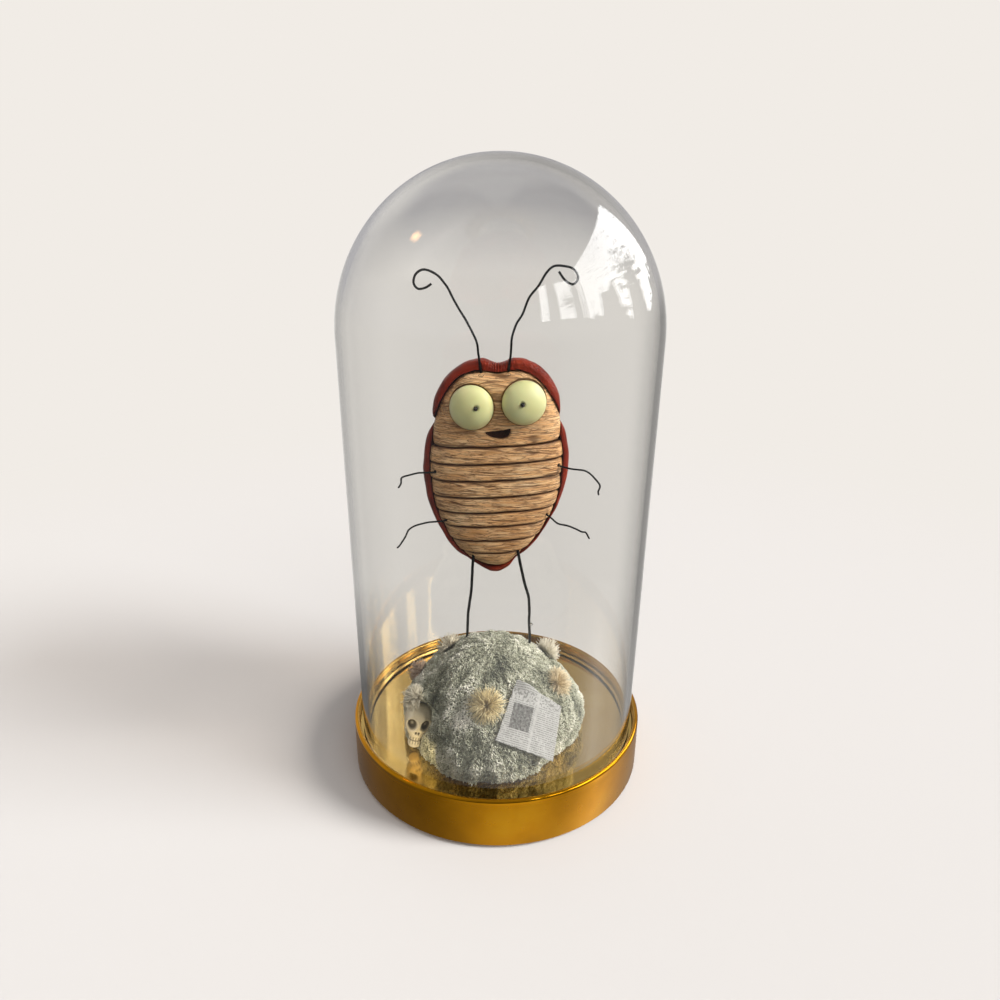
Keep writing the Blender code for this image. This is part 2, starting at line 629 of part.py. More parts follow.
def mound_point(direction, grow=0.0):
    """A point of the mound's surface, for a direction from its middle."""
    aim = direction.normalized()
    radii = MOUND_RADII
    point = Vector((aim.x * radii.x, aim.y * radii.y, aim.z * radii.z))
    swell = MOUND_GRAIN * noise.noise(point / MOUND_GRAIN_SIZE)
    for lobe, height, sharpness in MOUND_LOBES:
        swell += height * math.exp(-sharpness * (aim - lobe.normalized()).length_squared)
    point = MOUND_CENTRE + point + aim * (swell + grow)
    right, up, normal = paper_axes()
    offset = point - PAPER_CENTRE
    above = offset.dot(normal) - grow
    aside = math.hypot(offset.dot(right), offset.dot(up))
    pressed = -offset.dot(right) ** 2 / (2 * PAPER_BEND_RADIUS) - PAPER_THICKNESS - GAP * 2
    if aside < PRESS_MARGIN and above > pressed:
        point -= normal * (above - pressed)
    return point


def mound_mesh(grow):
    bm = bmesh.new()
    bmesh.ops.create_icosphere(bm, subdivisions=3, radius=1)
    for vert in bm.verts:
        vert.co = mound_point(vert.co, grow)
    floor = Vector((0, 0, TRAY_FLOOR_Z + GAP - grow))
    geometry = bm.verts[:] + bm.edges[:] + bm.faces[:]
    bmesh.ops.bisect_plane(bm, geom=geometry, plane_co=floor, plane_no=(0, 0, 1), clear_inner=True)
    rim = [edge for edge in bm.edges if edge.is_boundary]
    bmesh.ops.contextual_create(bm, geom=rim)
    return bm


def build_mound(collection):
    mound = mesh_object("mound", mound_mesh(0.0), collection, "flock", crease=60)
    for name in ("foot_leg_left", "foot_leg_right"):
        cut(mound, BORES[name])
    cut(mound, skull_solid("skull_pocket", SKULL_POCKET, CUTTERS))


def build_tufts(collection):
    """Domes that reach the tips of the grass, cut clear of the mound and the skull."""
    cover = cutter_object("mound_cover", mound_mesh(GAP))
    pocket = bpy.data.objects["skull_pocket"]
    for number, (place, radius, height) in enumerate(TUFTS, 1):
        away = (place - MOUND_CENTRE).normalized()
        turn = away.to_track_quat("Z", "Y").to_matrix().to_4x4()
        bm = bmesh.new()
        ellipsoid(bm, (radius, radius, height), place, 10, 6, turn)
        tuft = mesh_object(f"grass_tuft_{number}", bm, collection, "grass")
        cut(tuft, cover)
        if number == TUFT_BY_SKULL:
            cut(tuft, pocket)


def skull_placing():
    turn = Matrix.Rotation(SKULL_YAW, 4, "Z") @ Matrix.Rotation(SKULL_ROLL, 4, "Y")
    return Matrix.Translation(SKULL_PLACE) @ turn @ Matrix.Rotation(SKULL_LEAN, 4, "X")


def skull_solid(name, grow, collection, finish=None):
    placing = skull_placing()
    rings = []
    last = len(SKULL_SECTIONS) - 1
    for index, (z, half_width, front, back) in enumerate(SKULL_SECTIONS):
        height = z * MM + (grow if index == last else -grow if index == 0 else 0)
        middle = (front + back) / 2 * MM
        depth = (back - front) / 2 * MM + grow
        ring = []
        for step in range(SKULL_SIDES):
            angle = 2 * math.pi * step / SKULL_SIDES
            x = (half_width * MM + grow) * math.cos(angle)
            ring.append(placing @ Vector((x, middle + depth * math.sin(angle), height)))
        rings.append(ring)
    return loft(name, rings, collection, finish)


def build_skull(collection):
    placing = skull_placing()
    skull = skull_solid("skull", 0.0, collection, "ivory")
    hollows = [(SOCKET_RADII, place) for place in SOCKET_PLACES]
    hollows += [(NOSTRIL_RADII, place) for place in NOSTRIL_PLACES]
    for number, (radii, place) in enumerate(hollows, 1):
        bm = bmesh.new()
        ellipsoid(bm, radii, place, 10, 6)
        bm.transform(placing)
        cut(skull, cutter_object(f"skull_hollow_{number}", bm))


def build_paper(collection):
    """A square of paper, bent about its upright axis over the mound."""
    right, up, normal = paper_axes()
    bm = bmesh.new()
    bmesh.ops.create_grid(bm, x_segments=PAPER_CELLS, y_segments=PAPER_CELLS, size=0.5)
    for vert in bm.verts:
        across = vert.co.x + 0.5
        low = PAPER_LOW_CORNERS[0].lerp(PAPER_LOW_CORNERS[1], across)
        high = PAPER_HIGH_CORNERS[0].lerp(PAPER_HIGH_CORNERS[1], across)
        flat = low.lerp(high, vert.co.y + 0.5)
        lift = -flat.x**2 / (2 * PAPER_BEND_RADIUS)
        vert.co = PAPER_CENTRE + right * flat.x + up * flat.y + normal * lift
    paper = mesh_object("newspaper_scrap", bm, collection, "newsprint")
    wall = paper.modifiers.new("sheet", "SOLIDIFY")
    wall.thickness = PAPER_THICKNESS
    wall.offset = 0


for leftover in list(bpy.data.objects):
    bpy.data.objects.remove(leftover, do_unlink=True)

PARTS = new_collection("insect_in_glass_dome")
CUTTERS = new_collection("cutters")
BORES = make_bores()

build_tray(PARTS)
build_felt(PARTS)
build_dome(PARTS)
build_mound(PARTS)
build_skull(PARTS)
build_tufts(PARTS)
build_paper(PARTS)
build_shell(PARTS)
build_strips(PARTS)
build_head(PARTS)
build_eyes(PARTS)
mouth_solid("mouth", 0.0, PARTS, "mouth")
build_wires(PARTS)
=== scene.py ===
"""The looks of a clay and wire beetle under a glass dome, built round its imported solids.

Shapes are worked out in millimetres and scaled to metres as each mesh is made.
"""

import math

import bmesh
import bpy
import numpy as np
from mathutils import Matrix, Vector, noise


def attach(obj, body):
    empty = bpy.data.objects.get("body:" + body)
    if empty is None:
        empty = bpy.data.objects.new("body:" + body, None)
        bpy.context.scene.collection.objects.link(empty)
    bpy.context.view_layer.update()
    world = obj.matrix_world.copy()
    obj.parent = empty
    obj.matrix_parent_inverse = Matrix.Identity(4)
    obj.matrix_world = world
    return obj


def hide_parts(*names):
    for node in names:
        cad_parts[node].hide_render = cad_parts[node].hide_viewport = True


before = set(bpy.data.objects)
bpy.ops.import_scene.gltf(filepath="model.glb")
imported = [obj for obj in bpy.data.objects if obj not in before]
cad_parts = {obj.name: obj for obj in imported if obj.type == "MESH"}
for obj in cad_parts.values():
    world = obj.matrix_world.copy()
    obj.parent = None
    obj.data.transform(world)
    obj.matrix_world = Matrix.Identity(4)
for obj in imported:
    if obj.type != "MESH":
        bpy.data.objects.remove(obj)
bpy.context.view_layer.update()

MM = 0.001
WELD = 0.0001
GAP = 0.3

# Camera, worked out from the outlines of the dome and the tray
CAMERA_DISTANCE = 0.3199
CAMERA_RISE = math.radians(19.64)
CAMERA_ROLL = math.radians(0.63)
CAMERA_AIM = Vector((0.0006, 0.0, 0.1313))
CAMERA_LENS = 25.45

# Brass tray and glass dome
TRAY_RADIUS = 70
TRAY_HEIGHT = 25
TRAY_FLOOR_Z = 19
TRAY_SHEET = 1.5
TRAY_RIM = 2.4
TRAY_FILLET = 0.6
TRAY_HEM = 6
HEM_Z = 1.4
HEM_EDGE = 0.8
FELT_RADIUS = 67.5
FELT_THICKNESS = 1.0
TURNS = 160
DOME_TOP_Z = 273.5
DOME_SHOULDER_Z = 205
DOME_SHOULDER_RADIUS = 67.6
DOME_FOOT_RADIUS = 65.9
GLASS_WALL = 2.4

# Clay figure. Stations give a height and the left and right edges there.
BACK_Y = 6
BODY_DEPTH = 12
BODY_FALL = 0.6
BODY_WIDEST = 29.7
ROUNDNESS = 2 / 2.3
FRONT_SHARE = 0.86
HEAD_STATIONS = (
    (157.6, -28.9, 26.1), (160.0, -29.6, 26.8), (165.0, -29.3, 26.9), (171.0, -28.0, 25.9),
    (178.0, -24.9, 22.3), (184.0, -20.6, 17.6), (187.6, -16.2, 13.0), (189.6, -10.5, 7.4),
)
BELLY_STATIONS = (
    (97.6, -3.6, 1.2), (99.6, -8.4, 5.2), (104.5, -15.8, 10.4), (111.0, -20.9, 16.8),
    (118.0, -24.6, 21.5), (125.3, -27.6, 24.9), (133.0, -29.6, 27.1), (141.0, -30.6, 28.1),
    (150.0, -31.0, 28.4), (157.6, -30.5, 27.9),
)
WING_STATIONS = (
    (93.9, -3.6, 0.8), (96.4, -7.8, 5.0), (100.6, -14.0, 8.4), (105.2, -20.0, 13.9),
    (112.0, -24.9, 19.4), (120.4, -29.0, 24.3), (129.0, -32.2, 28.2), (137.4, -33.9, 30.5),
    (145.8, -34.5, 31.5), (154.0, -33.6, 31.0), (161.6, -32.0, 29.5), (167.2, -29.0, 27.0),
)
SHIELD_STATIONS = (
    (167.7, -28.5, 26.2), (169.8, -29.5, 26.9), (173.5, -29.6, 26.9), (178.6, -28.4, 25.8),
    (185.0, -24.9, 22.4), (190.4, -19.2, 17.2), (193.2, -13.4, 11.8), (194.4, -7.6, 6.0),
)
GROOVE_HEIGHTS = (157.6, 150.0, 142.3, 134.6, 127.2, 120.3, 112.8, 106.0)
STRIP_TILT = math.tan(math.radians(3.2))
LEVELLING_Z = 113
SHELL_TILT = math.tan(math.radians(1.6))
DIP_X = -0.8
DIP_WIDTH = 5
HEAD_DIP = 1.3
SHIELD_DIP = 2.2
DIP_HEIGHT = 9

EYE_RADIUS = 9.6
EYE_DOME = 6.2
EYES = {"left": (Vector((-12.0, -4.6, 174.7)), -10), "right": (Vector((10.4, -4.6, 177.0)), 10)}
PUPIL_RADIUS = 1.0
PUPILS = {"left": Vector((-9.9, -10.9, 175.6)), "right": Vector((9.6, -10.9, 177.4))}
MOUTH_POINTS = (
    (-6.4, 164.4), (-2.4, 164.8), (1.6, 165.3), (4.9, 165.9), (4.3, 162.6), (1.6, 161.1), (-3.2, 161.6),
    (-5.9, 163.0),
)
MOUTH_FRONT_Y = -4.7
MOUTH_DEPTH = 3

# Wires: radius and the points that each one passes, from inside the clay outwards
ANTENNA_WIRE = 0.5
ARM_WIRE = 0.42
LEG_WIRE = 0.68
WIRES = {
    "antenna_left": (ANTENNA_WIRE, (
        (-7.4, 2.6, 182.6), (-8.3, 2.2, 190.2), (-9.2, 1.8, 196.0), (-10.0, 1.5, 201.2),
        (-13.8, 1.2, 209.1), (-19.0, 1.0, 217.7), (-22.1, 1.0, 223.5), (-26.2, 1.0, 228.2),
        (-31.2, 0.8, 230.2), (-34.6, 0.6, 228.6), (-35.8, 0.4, 225.1), (-34.0, 0.2, 222.7),
        (-31.0, 0.0, 223.1), (-28.4, 0.0, 224.7))),
    "antenna_right": (ANTENNA_WIRE, (
        (2.9, 2.6, 183.2), (3.8, 2.2, 190.8), (4.5, 1.8, 196.6), (4.9, 1.4, 203.0), (6.4, 1.0, 208.4),
        (9.2, 0.8, 213.2), (11.6, 0.6, 219.4), (15.6, 0.4, 224.6), (18.1, 0.2, 229.0), (21.2, 0.0, 232.0),
        (25.2, -0.3, 232.1), (29.4, -0.6, 231.0), (31.3, -1.0, 227.6), (29.2, -1.4, 225.1),
        (26.0, -1.2, 226.8), (23.4, -0.9, 230.0))),
    "arm_upper_left": (ARM_WIRE, (
        (-23.4, 2.2, 144.9), (-29.6, -0.4, 144.4), (-33.5, -1.0, 144.4), (-36.4, -1.2, 144.3),
        (-39.9, -1.6, 143.4), (-43.3, -2.0, 142.2), (-43.7, -2.2, 139.6), (-44.9, -2.4, 137.7))),
    "arm_lower_left": (ARM_WIRE, (
        (-19.6, 2.0, 122.4), (-25.4, -0.6, 121.3), (-31.9, -1.2, 120.8), (-37.1, -1.6, 119.6),
        (-40.8, -2.0, 117.6), (-42.6, -2.2, 114.2), (-45.4, -2.4, 109.7), (-46.6, -2.4, 108.7))),
    "arm_upper_right": (ARM_WIRE, (
        (21.9, 2.2, 148.6), (28.6, -0.2, 147.6), (31.4, -0.8, 147.0), (35.4, -1.2, 146.7),
        (38.8, -1.6, 146.0), (42.1, -2.0, 143.5), (45.1, -2.2, 139.8), (44.5, -2.4, 136.9),
        (44.8, -2.4, 135.4))),
    "arm_lower_right": (ARM_WIRE, (
        (18.8, 2.2, 126.4), (23.9, -0.4, 123.5), (27.2, -1.0, 120.9), (31.6, -1.2, 120.0),
        (35.4, -1.6, 118.6), (38.2, -1.8, 117.2), (40.0, -1.9, 117.0), (41.2, -2.0, 115.0),
        (41.7, -2.0, 114.1))),
    "leg_left": (LEG_WIRE, (
        (-11.0, 2.8, 110.4), (-11.8, -0.2, 100.4), (-12.4, 1.2, 88.0), (-13.2, 2.6, 80.4),
        (-14.3, 4.0, 71.4), (-14.8, 5.4, 61.2), (-14.9, 6.0, 52.6))),
    "leg_right": (LEG_WIRE, (
        (8.2, 2.8, 110.8), (10.4, -0.2, 100.2), (12.6, 1.0, 90.0), (14.9, 2.2, 81.4), (15.4, 3.6, 72.8),
        (15.5, 4.4, 66.8), (16.0, 5.2, 57.6), (16.1, 5.6, 49.4))),
}
HOLE_RADIUS = 1.1

# Mound of flock, as in the solids
MOUND_CENTRE = Vector((-2, -12, 27))
MOUND_RADII = Vector((43, 43, 37))
MOUND_GRAIN = 1.0
MOUND_GRAIN_SIZE = 14
MOUND_LOBES = (
    (Vector((-0.95, 0.30, -0.10)), -0.5, 6.0),
    (Vector((1.00, 0.20, -0.05)), 2.0, 6.0),
    (Vector((0.75, -0.66, -0.15)), -6.0, 5.0),
    (Vector((-0.78, -0.60, 0.00)), -3.5, 6.0),
    (Vector((-0.66, 0.10, 0.74)), -4.5, 6.0),
    (Vector((0.62, 0.20, 0.76)), -3.0, 6.0),
)
FLOCK_DEPTH = 1.2
FLOCK_COUNT = 24000
# Patches of lighter and darker flock: direction, how much, and how sharply it ends
FLOCK_PATCHES = (
    (Vector((0.05, -0.35, 0.93)), -0.30, 14.0),
    (Vector((-0.35, -0.72, 0.60)), 0.42, 22.0),
    (Vector((-0.30, -0.93, 0.15)), 0.04, 8.0),
    (Vector((0.95, -0.20, 0.25)), -0.16, 4.0),
    (Vector((0.10, -0.95, -0.25)), 0.14, 12.0),
)
# Folds of the flock: direction, how far it stands up, and how sharply it ends
FLOCK_FOLDS = (
    (Vector((-0.62, -0.52, 0.58)), -1.5, 22.0),
    (Vector((-0.28, -0.68, 0.68)), 1.3, 30.0),
    (Vector((-0.06, -0.50, 0.86)), -1.5, 60.0),
    (Vector((0.16, -0.52, 0.84)), 0.8, 60.0),
    (Vector((-0.45, -0.88, 0.05)), -0.5, 14.0),
)

# Tufts: place, radius, height, colours of root and tip
TUFTS = (
    (Vector((-22.6, 5.0, 51.9)), 5.6, 6.6, "#A3977C", "#FAF3DE"),
    (Vector((-37.2, -3.0, 42.9)), 4.8, 5.6, "#6B5240", "#C9B29C"),
    (Vector((-36.2, -25.6, 43.8)), 5.2, 6.2, "#A39A78", "#F6F0DC"),
    (Vector((-4.1, -41.8, 51.7)), 7.2, 6.4, "#AC8F52", "#F8EABC"),
    (Vector((27.2, -22.0, 49.8)), 6.8, 6.0, "#B4986A", "#F8EAC8"),
    (Vector((24.4, 5.4, 50.0)), 5.4, 6.0, "#B8AA88", "#FFFAEA"),
)
FIBRES = 560
FIBRE_WIDTH = 0.14

# Scrap of newsprint
PAPER_CENTRE = Vector((15.4, -44.2, 44.4))
PAPER_NORMAL = Vector((0.40, -0.735, 0.545)).normalized()
PAPER_UP = Vector((0.25, 0.63, 0.73))
PAPER_LOW_CORNERS = (Vector((-14.2, -10.8)), Vector((14.1, -12.3)))
PAPER_HIGH_CORNERS = (Vector((-11.6, 15.8)), Vector((12.5, 11.2)))
PAPER_THICKNESS = 0.35
PAPER_BEND_RADIUS = 58
PRESS_MARGIN = 24
PAPER_CELLS = 64

# Skull bead. Each section: height, half width, front and back.
SKULL_SECTIONS = (
    (0.0, 1.9, -4.4, -0.6), (0.9, 2.8, -5.2, 0.4), (3.0, 3.1, -5.0, 0.8), (4.6, 2.9, -4.6, 1.0),
    (6.0, 3.6, -5.2, 2.0), (8.4, 5.3, -5.5, 4.6), (11.4, 6.3, -5.8, 6.6), (14.6, 6.2, -5.6, 6.8),
    (17.4, 4.8, -4.0, 5.4), (19.2, 2.4, -1.6, 2.9),
)
SKULL_PLACE = Vector((-38.2, -28.4, 21.2))
SKULL_TURNS = (("Z", 9), ("Y", 13), ("X", -9))
SKULL_LOOK = Vector((0.11, -0.79, 0.61))
SOCKETS = ((-3.0, 11.4, 2.25, 2.75), (3.0, 11.4, 2.25, 2.75))
NOSTRILS = ((-0.65, 7.6, 0.5, 0.75), (0.65, 7.6, 0.5, 0.75))
TEETH_Z = 3.6

# Print on the scrap: from one line to the next
LINE_PITCH = 0.86

# Studio: the backdrop's colour, and the room's belts. Each belt has the heights where it fades in,
# and stops of a turn and a level or colour.
PAPER_WHITE = "#F1ECE6"
WORLD_BELTS = (
    (None, None, (
        (0.0, 0.14), (0.12, 0.18), (0.25, 0.66), (0.34, 0.72), (0.40, 0.48), (0.45, 0.85), (0.49, 1.35),
        (0.53, 0.80), (0.60, 0.40), (0.68, 0.35), (0.71, 0.85), (0.77, 0.80), (0.80, 0.14), (1.0, 0.14))),
    (-0.56, -0.44, (
        (0.0, 0.45), (0.12, 0.14), (0.25, 0.04), (0.36, 0.10), (0.44, 0.30), (0.53, 0.55), (0.60, 0.28),
        (0.67, 0.32), (0.705, 0.84), (0.795, 0.84), (0.83, 0.50), (0.90, 0.62), (1.0, 0.45))),
    (-0.02, 0.10, (
        (0.0, "#B9BAC0"), (0.25, "#8F9299"), (0.5, "#C2C0BD"), (0.75, "#BBBCC1"), (1.0, "#B9BAC0"))),
    (0.22, 0.45, (
        (0.0, 0.45), (0.25, 0.16), (0.40, 0.30), (0.50, 0.50), (0.65, 0.45), (0.73, 0.40), (0.78, 0.52),
        (0.85, 0.80), (1.0, 0.45))),
    (0.60, 0.74, ((0.0, "#9DA0A9"), (1.0, "#9DA0A9"))),
)


def smooth(low, high, value):
    """0 at low, 1 at high, whichever is the larger, and a smooth step between."""
    t = min(max((value - low) / (high - low), 0.0), 1.0)
    return t * t * (3 - 2 * t)


def colour(code):
    """A hex sRGB colour as linear red, green, blue and alpha."""
    parts = [int(code[index:index + 2], 16) / 255 for index in (1, 3, 5)]
    return (*(p / 12.92 if p <= 0.04045 else ((p + 0.055) / 1.055) ** 2.4 for p in parts), 1.0)


class Look:
    """The nodes of a material or a world. An input is a value, a socket or node to link, or None to leave."""

    def __init__(self, owner, shader="Principled BSDF", output="Material Output"):
        owner.use_nodes = True
        self.owner = owner
        self.tree = owner.node_tree
        self.shader = self.tree.nodes[shader]
        self.output = self.tree.nodes[output]
        self.spots = self.add("TexCoord").outputs

    def put(self, socket, value):
        if isinstance(value, bpy.types.Node):
            value = value.outputs[0]
        if isinstance(value, bpy.types.NodeSocket):
            self.tree.links.new(value, socket)
        elif value is not None:
            socket.default_value = value

    def add(self, kind, inputs=(), **settings):
        made = self.tree.nodes.new("ShaderNode" + kind)
        for name, value in settings.items():
            setattr(made, name, value)
        for socket, value in zip(made.inputs, inputs):
            self.put(socket, value)
        return made

    def shade(self, **values):
        """Values and sockets for the shader's own inputs."""
        for key, value in values.items():
            self.put(self.shader.inputs[key.replace("_", " ").title().replace("Ior", "IOR")], value)

    def math(self, operation, *values):
        return self.add("Math", values, operation=operation).outputs[0]

    def noise(self, scale, detail, spot=None):
        return self.add("TexNoise", [spot or self.spots["Object"], None, scale, detail]).outputs[0]

    def stretched(self, height):
        return self.add("Mapping", [self.spots["Object"], None, None, (1.0, 1.0, height)])

    def split(self, spot):
        return self.add("SeparateXYZ", [spot]).outputs

    def distance(self, spot, point=(0, 0, 0)):
        return self.add("VectorMath", [spot, point], operation="DISTANCE").outputs["Value"]

    def attribute(self, name, output="Fac"):
        return self.add("Attribute", attribute_name=name).outputs[output]

    def spread(self, value, low, high, start=0.0, end=1.0, **settings):
        """The value taken from low to high, spread from start to end."""
        return self.add("MapRange", [value, low, high, start, end], **settings).outputs[0]

    def mix(self, share, first, second, **settings):
        inputs = [share, None, None, None, None, None, first, second]
        return self.add("Mix", inputs, data_type="RGBA", **settings).outputs[2]

    def ramp(self, factor, *stops):
        """A colour ramp through stops of a place and a hex colour or a grey level."""
        made = self.add("ValToRGB", [factor])
        elements = made.color_ramp.elements
        while len(elements) < len(stops):
            elements.new(0.5)
        for element, (place, shade) in zip(elements, stops):
            element.position = place
            element.color = colour(shade) if isinstance(shade, str) else (shade, shade, shade, 1)
        return made.outputs["Color"]

    def bump(self, height, strength, distance):
        made = self.add("Bump")
        for name, value in (("Strength", strength), ("Distance", distance), ("Height", height)):
            self.put(made.inputs[name], value)
        self.shade(normal=made)

    def blend(self, share, first, second):
        """Two shaders mixed by a share, for the whole surface."""
        self.put(self.output.inputs["Surface"], self.add("MixShader", [share, first, second]))


def finish(name, **values):
    """The nodes of a new material, with plain values on the shader's own sockets."""
    look = Look(bpy.data.materials.new(name))
    look.shade(**values)
    return look


def wave(*spot):
    """Smooth noise at a spot, from -1 to 1."""
    return noise.noise(Vector(spot))


def swells(aim, rows):
    """The sum of some swells at a direction. Each has its own direction, height and sharpness."""
    total = 0.0
    for way, height, sharpness in rows:
        total += height * math.exp(-sharpness * (aim - way.normalized()).length_squared)
    return total


def as_mesh(name, bm):
    mesh = bpy.data.meshes.new(name)
    bm.to_mesh(mesh)
    bm.free()
    return mesh


def placed(name, data):
    """A new object in the scene."""
    made = bpy.data.objects.new(name, data)
    bpy.context.scene.collection.objects.link(made)
    return made


def piece(name, shape, finish, slot, *nodes, crease=None):
    """A finished piece that rides on the one body and stands for the named solids."""
    mesh = shape
    if isinstance(shape, bmesh.types.BMesh):
        mesh = as_mesh(name, shape)
    mesh.transform(Matrix.Scale(MM, 4))
    mesh.shade_smooth()
    if crease is not None:
        mesh.set_sharp_from_angle(angle=math.radians(crease))
    mesh.materials.append(finish)
    made = placed(name, mesh)
    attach(made, "root")
    if nodes:
        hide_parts(*nodes)
    return made


def arc(centre_r, centre_z, radius_r, radius_z, start, end, steps):
    """Points (r, z) of an elliptical arc, from start to end in degrees."""
    points = []
    for angle in np.radians(np.linspace(start, end, steps + 1)):
        points.append((centre_r + radius_r * math.cos(angle), centre_z + radius_z * math.sin(angle)))
    return points


def spun(profile):
    """A profile of (r, z) points turned about the dome's axis, closed where it meets it."""
    bm = bmesh.new()
    verts = [bm.verts.new((r, 0, z)) for r, z in profile]
    edges = [bm.edges.new(pair) for pair in zip(verts, verts[1:])]
    full = 2 * math.pi
    bmesh.ops.spin(
        bm, geom=verts + edges, cent=(0, 0, 0), axis=(0, 0, 1), angle=full, steps=TURNS, use_merge=True)
    bmesh.ops.remove_doubles(bm, verts=bm.verts, dist=WELD)
    bmesh.ops.recalc_face_normals(bm, faces=bm.faces)
    return bm


def skin(columns, rows, place, wash_and_shade="wash_and_shade"):
    """A closed tube from a grid. place(u, v) gives each corner's spot and how dark it is painted, for stain
    and painted shade alike.
    """
    bm = bmesh.new()
    layer = bm.verts.layers.float.new(wash_and_shade)
    bmesh.ops.create_grid(bm, x_segments=columns, y_segments=rows, size=0.5)
    for vert in bm.verts:
        vert.co, vert[layer] = place(vert.co.x + 0.5, vert.co.y + 0.5)
    bmesh.ops.remove_doubles(bm, verts=bm.verts, dist=WELD)
    bmesh.ops.holes_fill(bm, edges=[edge for edge in bm.edges if edge.is_boundary], sides=0)
    bmesh.ops.recalc_face_normals(bm, faces=bm.faces)
    return bm


def hermite(table, z):
    """Values at a height, on smooth curves through rows that start with their height."""
    last = len(table) - 1
    index = 0
    while index < last - 1 and z > table[index + 1][0]:
        index += 1
    before = table[max(index - 1, 0)]
    low = table[index]
    high = table[index + 1]
    after = table[min(index + 2, last)]
    span = high[0] - low[0]
    t = min(max((z - low[0]) / span, 0.0), 1.0)
    values = []
    for side in range(1, len(low)):
        slope_low = (high[side] - before[side]) / (high[0] - before[0]) * span
        slope_high = (after[side] - low[side]) / (after[0] - low[0]) * span
        value = (2 * t**3 - 3 * t**2 + 1) * low[side] + (t**3 - 2 * t**2 + t) * slope_low
        value += (3 * t**2 - 2 * t**3) * high[side] + (t**3 - t**2) * slope_high
        values.append(value)
    return values


def smooth_route(points, spacing):
    """Points along a Catmull-Rom curve, no further apart than the spacing."""
    route = []
    count = len(points)
    for index in range(count - 1):
        before = points[max(index - 1, 0)]
        start = points[index]
        end = points[index + 1]
        after = points[min(index + 2, count - 1)]
        steps = max(1, round((end - start).length / spacing))
        for step in range(steps):
            t = step / steps
            a = 2 * start
            b = (end - before) * t
            c = (2 * before - 5 * start + 4 * end - after) * t**2
            d = (3 * start - before - 3 * end + after) * t**3
            route.append((a + b + c + d) / 2)
    route.append(points[-1])
    return route


# Finishes

def brass():
    """Lacquered spun brass: a satin amber wall, and a polished floor given a paler colour as a painted
    reflection.
    """
    look = finish("lacquered_brass", metallic=1.0, coat_weight=0.10, coat_roughness=0.06)
    x, y, z = look.split(look.spots["Object"])
    wall = look.spread(look.distance(look.add("CombineXYZ", [x, y])), 0.0672, 0.0690)
    cloud = look.noise(45, 4)
    amber = look.ramp(cloud, (0.30, "#C28306"), (0.55, "#D8940B"), (0.75, "#E2A318"))
    # Painted reflection: the floor is given a paler colour for the pale room it reflects.
    pale = look.ramp(cloud, (0.30, "#DDB766"), (0.70, "#EBCB80"))
    satin = look.math("MULTIPLY", wall, look.spread(z, 0.0237, 0.0222))
    mottle = look.math("MULTIPLY_ADD", look.noise(260, 6), 0.10, look.spread(satin, 0, 1, 0.06, 0.24))
    look.shade(base_color=look.mix(wall, pale, amber), roughness=mottle)
    look.bump(look.noise(90, 2), 0.12, 0.0006)
    return look.owner


def felt():
    """Pressed black wool felt: soft, matt, with a fibrous mottle."""
    look = finish("pressed_felt", roughness=0.95, sheen_weight=0.4)
    fuzz = look.noise(900, 4)
    look.shade(base_color=look.ramp(fuzz, (0.3, "#0E0E0F"), (0.7, "#242426")))
    look.bump(fuzz, 0.5, 0.0003)
    return look.owner


def glass():
    """Blown soda glass: clear, faintly warm, with slow upright ripples. Lamps shine through it."""
    look = finish(
        "blown_glass", transmission_weight=1.0, ior=1.5, roughness=0.0, base_color=colour("#F7F6F4"))
    look.bump(look.noise(55, 1, look.stretched(0.16)), 0.04, 0.001)
    lamp = look.add("LightPath").outputs["Is Shadow Ray"]
    look.blend(lamp, look.shader, look.add("BsdfTransparent", [colour("#EFEDEB")]))
    return look.owner


def flock():
    """Nylon flock over rock: each grain darker at its root, painted shade where the grains crowd, and frosted
    at its tip.
    """
    look = finish("frosted_flock", roughness=0.92, sheen_weight=0.25)
    stops = ((0.0, "#585C4D"), (0.25, "#888B77"), (0.50, "#AEB09B"), (0.75, "#CFD0BD"), (1.0, "#F6F4E8"))
    look.shade(base_color=look.ramp(look.attribute("tone"), *stops))
    return look.owner


def rock():
    """The flocked ground between the grains, a darker and closer pile."""
    look = finish("flock_ground", roughness=0.95)
    pile = look.noise(620, 5)
    look.shade(base_color=look.ramp(pile, (0.30, "#757869"), (0.55, "#9A9D8B"), (0.75, "#B9BBA8")))
    look.bump(pile, 0.9, 0.0006)
    return look.owner


def straw(name, root, tip):
    """Static grass: dry nylon fibres, brown at the root and pale at the tip, darker at the root still as
    painted shade where they crowd.
    """
    look = finish(name, roughness=0.7, sheen_weight=0.15)
    look.shade(base_color=look.ramp(look.attribute("tone"), (0.05, root), (0.85, tip)))
    return look.owner


def tan_clay():
    """Baked clay scored like wood, with dark brown stain left in the scores and a satin varnish. The same
    dark colour is also painted shade in the grooves between strips, round the eyes and in the wire holes, and
    darkens the mouth pocket.
    """
    look = finish("scored_clay")
    streak = look.noise(120, 4, look.stretched(11.0))
    near = look.math("ABSOLUTE", look.math("SUBTRACT", streak, 0.5))
    blend = look.math("MULTIPLY_ADD", look.noise(60, 3), 0.4, look.math("MULTIPLY", streak, 0.6))
    body = look.ramp(blend, (0.32, "#CA945A"), (0.46, "#E6B47D"), (0.60, "#F3CB98"), (0.76, "#FBE0B9"))
    # Dark where the vertices mark stain in the scores or painted shade, and along the streaks of stain.
    wash_and_shade = look.math("MAXIMUM", look.attribute("wash_and_shade"), look.spread(near, 0.050, 0.010, 0.0, 0.66))
    tint = look.mix(wash_and_shade, body, colour("#45200C"))
    look.shade(base_color=tint, roughness=look.spread(streak, 0, 1, 0.40, 0.62))
    look.bump(streak, 0.35, 0.0003)
    return look.owner


